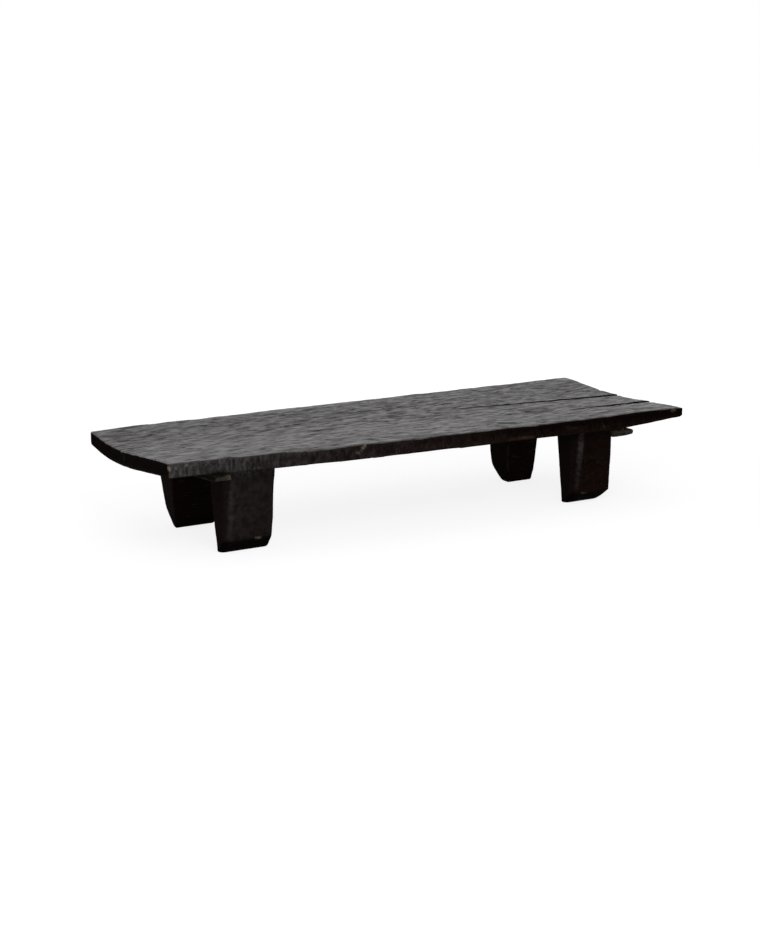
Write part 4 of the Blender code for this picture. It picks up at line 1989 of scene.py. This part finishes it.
@dataclass
class Studio:
    """A white room: a pale floor, even light, and the camera where the photographer stood."""

    camera_place: Point = (-2.666, -4.461, 1.3376)
    camera_turn: float = -30.2
    camera_tilt: float = 12.8
    lens: float = 57.92
    sensor: float = 36.0
    sight: float = 200.0
    floor_size: float = 60.0
    floor_drop: float = 0.0004
    floor_grey: float = 0.86
    floor_roughness: float = 0.9
    floor_glow: float = 1.17
    shadow_reach: tuple[float, float] = (1.6, 3.2)
    shadow_white: float = 0.72
    sky_strength: float = 0.65
    lamp_size: tuple[float, float] = (1.2, 0.9)
    lamp_power: float = 26.0
    lamp_place: Point = (-1.1, -2.3, 1.7)
    lamp_tilt: float = 56.0
    lamp_turn: float = -12.0

    def build_floor(self) -> bpy.types.Object:
        """The floor, white to the camera but for the bed's soft shadow.

        Returns:
            The floor.
        """
        half, low = self.floor_size / 2, -self.floor_drop
        corners = [(-half, -half, low), (half, -half, low), (half, half, low), (-half, half, low)]
        mesh = bpy.data.meshes.new("floor")
        mesh.from_pydata(corners, [], [(0, 1, 2, 3)])
        sheet = Sheet("pale_floor")
        sheet.shader.inputs["Base Color"].default_value = (self.floor_grey, self.floor_grey, self.floor_grey, 1.0)
        sheet.shader.inputs["Roughness"].default_value = self.floor_roughness
        sheet.shader.inputs["Specular IOR Level"].default_value = 0.0
        straight = sheet.add("ShaderNodeLightPath", {}).outputs["Is Camera Ray"]
        glow = sheet.span(straight, Band(0.0, 1.0, 1.0, self.floor_glow))
        white = sheet.add("ShaderNodeEmission", {"Color": WHITE, "Strength": glow})
        length = sheet.add("ShaderNodeVectorMath", {0: sheet.place}, operation="LENGTH").outputs["Value"]
        share = sheet.times(sheet.seen(), sheet.span(length, Band(*self.shadow_reach, self.shadow_white)))
        mixed = sheet.add("ShaderNodeMixShader", {0: share, 1: sheet.shader.outputs[0], 2: white.outputs[0]})
        sheet.tree.links.new(mixed.outputs[0], sheet.tree.nodes["Material Output"].inputs["Surface"])
        mesh.materials.append(sheet.material)
        floor = link_body("floor", mesh)
        return floor

    def build_sky(self) -> None:
        """An even white sky, plain white to the camera."""
        world = bpy.data.worlds.new("studio")
        bpy.context.scene.world = world
        world.use_nodes = True
        nodes = Nodes(world.node_tree)
        sky = nodes.tree.nodes["Background"]
        sky.inputs["Color"].default_value = WHITE
        sky.inputs["Strength"].default_value = self.sky_strength
        white = nodes.add("ShaderNodeBackground", {"Color": WHITE, "Strength": 1.0})
        mixed = nodes.add("ShaderNodeMixShader", {0: nodes.seen(), 1: sky.outputs[0], 2: white.outputs[0]})
        nodes.tree.links.new(mixed.outputs[0], nodes.tree.nodes["World Output"].inputs["Surface"])

    def build_lamp(self) -> None:
        """One broad lamp over the front, which no gloss mirrors."""
        lamp = bpy.data.lights.new("broad_lamp", "AREA")
        lamp.shape = "RECTANGLE"
        lamp.size, lamp.size_y = self.lamp_size
        lamp.energy = self.lamp_power
        body = bpy.data.objects.new("broad_lamp", lamp)
        body.location = self.lamp_place
        body.rotation_euler = (math.radians(self.lamp_tilt), 0.0, math.radians(self.lamp_turn))
        body.visible_glossy = False
        bpy.context.scene.collection.objects.link(body)

    def build_camera(self) -> None:
        """The camera, looking as the photograph does."""
        camera = bpy.data.cameras.new("camera")
        camera.lens = self.lens
        camera.sensor_width = self.sensor
        camera.clip_end = self.sight
        body = bpy.data.objects.new("camera", camera)
        body.location = self.camera_place
        body.rotation_euler = (math.radians(90 - self.camera_tilt), 0.0, math.radians(self.camera_turn))
        bpy.context.scene.collection.objects.link(body)
        bpy.context.scene.camera = body
        bpy.context.scene.view_settings.view_transform = "Standard"


def make_pegs(deck: Deck, batten: Batten) -> list[Peg]:
    """The row of pegs through one batten.

    Args:
        deck: The deck that they hold.
        batten: The batten that they go through.

    Returns:
        The pegs, from front to back.
    """
    pegs = []
    for number, place in enumerate(batten.peg_places, start=1):
        y = place * batten.reach(deck)
        top = batten.top(deck, y)
        low = top - batten.thickness - batten.peg_proud
        name = f"{batten.node}_peg_{number}"
        pegs.append(Peg(name, batten.middle, y, low, top + batten.peg_grip, batten.peg_seed + number))
    return pegs


def main() -> None:
    """Builds and dresses every piece, then the studio round it."""
    logging.basicConfig(level=logging.INFO, format="%(message)s")
    deck = Deck()
    carved = CarvedBed(deck, LEGS, CHIPS, RUBS_AND_HIGHLIGHTS, STAINS)
    bed = carved.build()
    carved.dress(bed, DECK_TOP_FINISH, HEWN_FINISH)
    log.info("carved bed: %d faces", len(bed.data.polygons))
    peg_wood = PEG_FINISH.material()
    strip = StripBatten()
    slab = SlabBatten()
    dress_piece(strip.build(deck), strip.node, STRIP_FINISH.material())
    dress_piece(slab.build(deck), slab.node, SLAB_FINISH.material())
    log.info("two battens")
    pegs = make_pegs(deck, strip) + make_pegs(deck, slab)
    for peg in pegs:
        dress_piece(peg.build(), peg.node, peg_wood)
    log.info("%d pegs", len(pegs))
    studio = Studio()
    studio.build_floor()
    studio.build_sky()
    studio.build_lamp()
    studio.build_camera()
    log.info("studio")


if __name__ == "__main__":
    main()
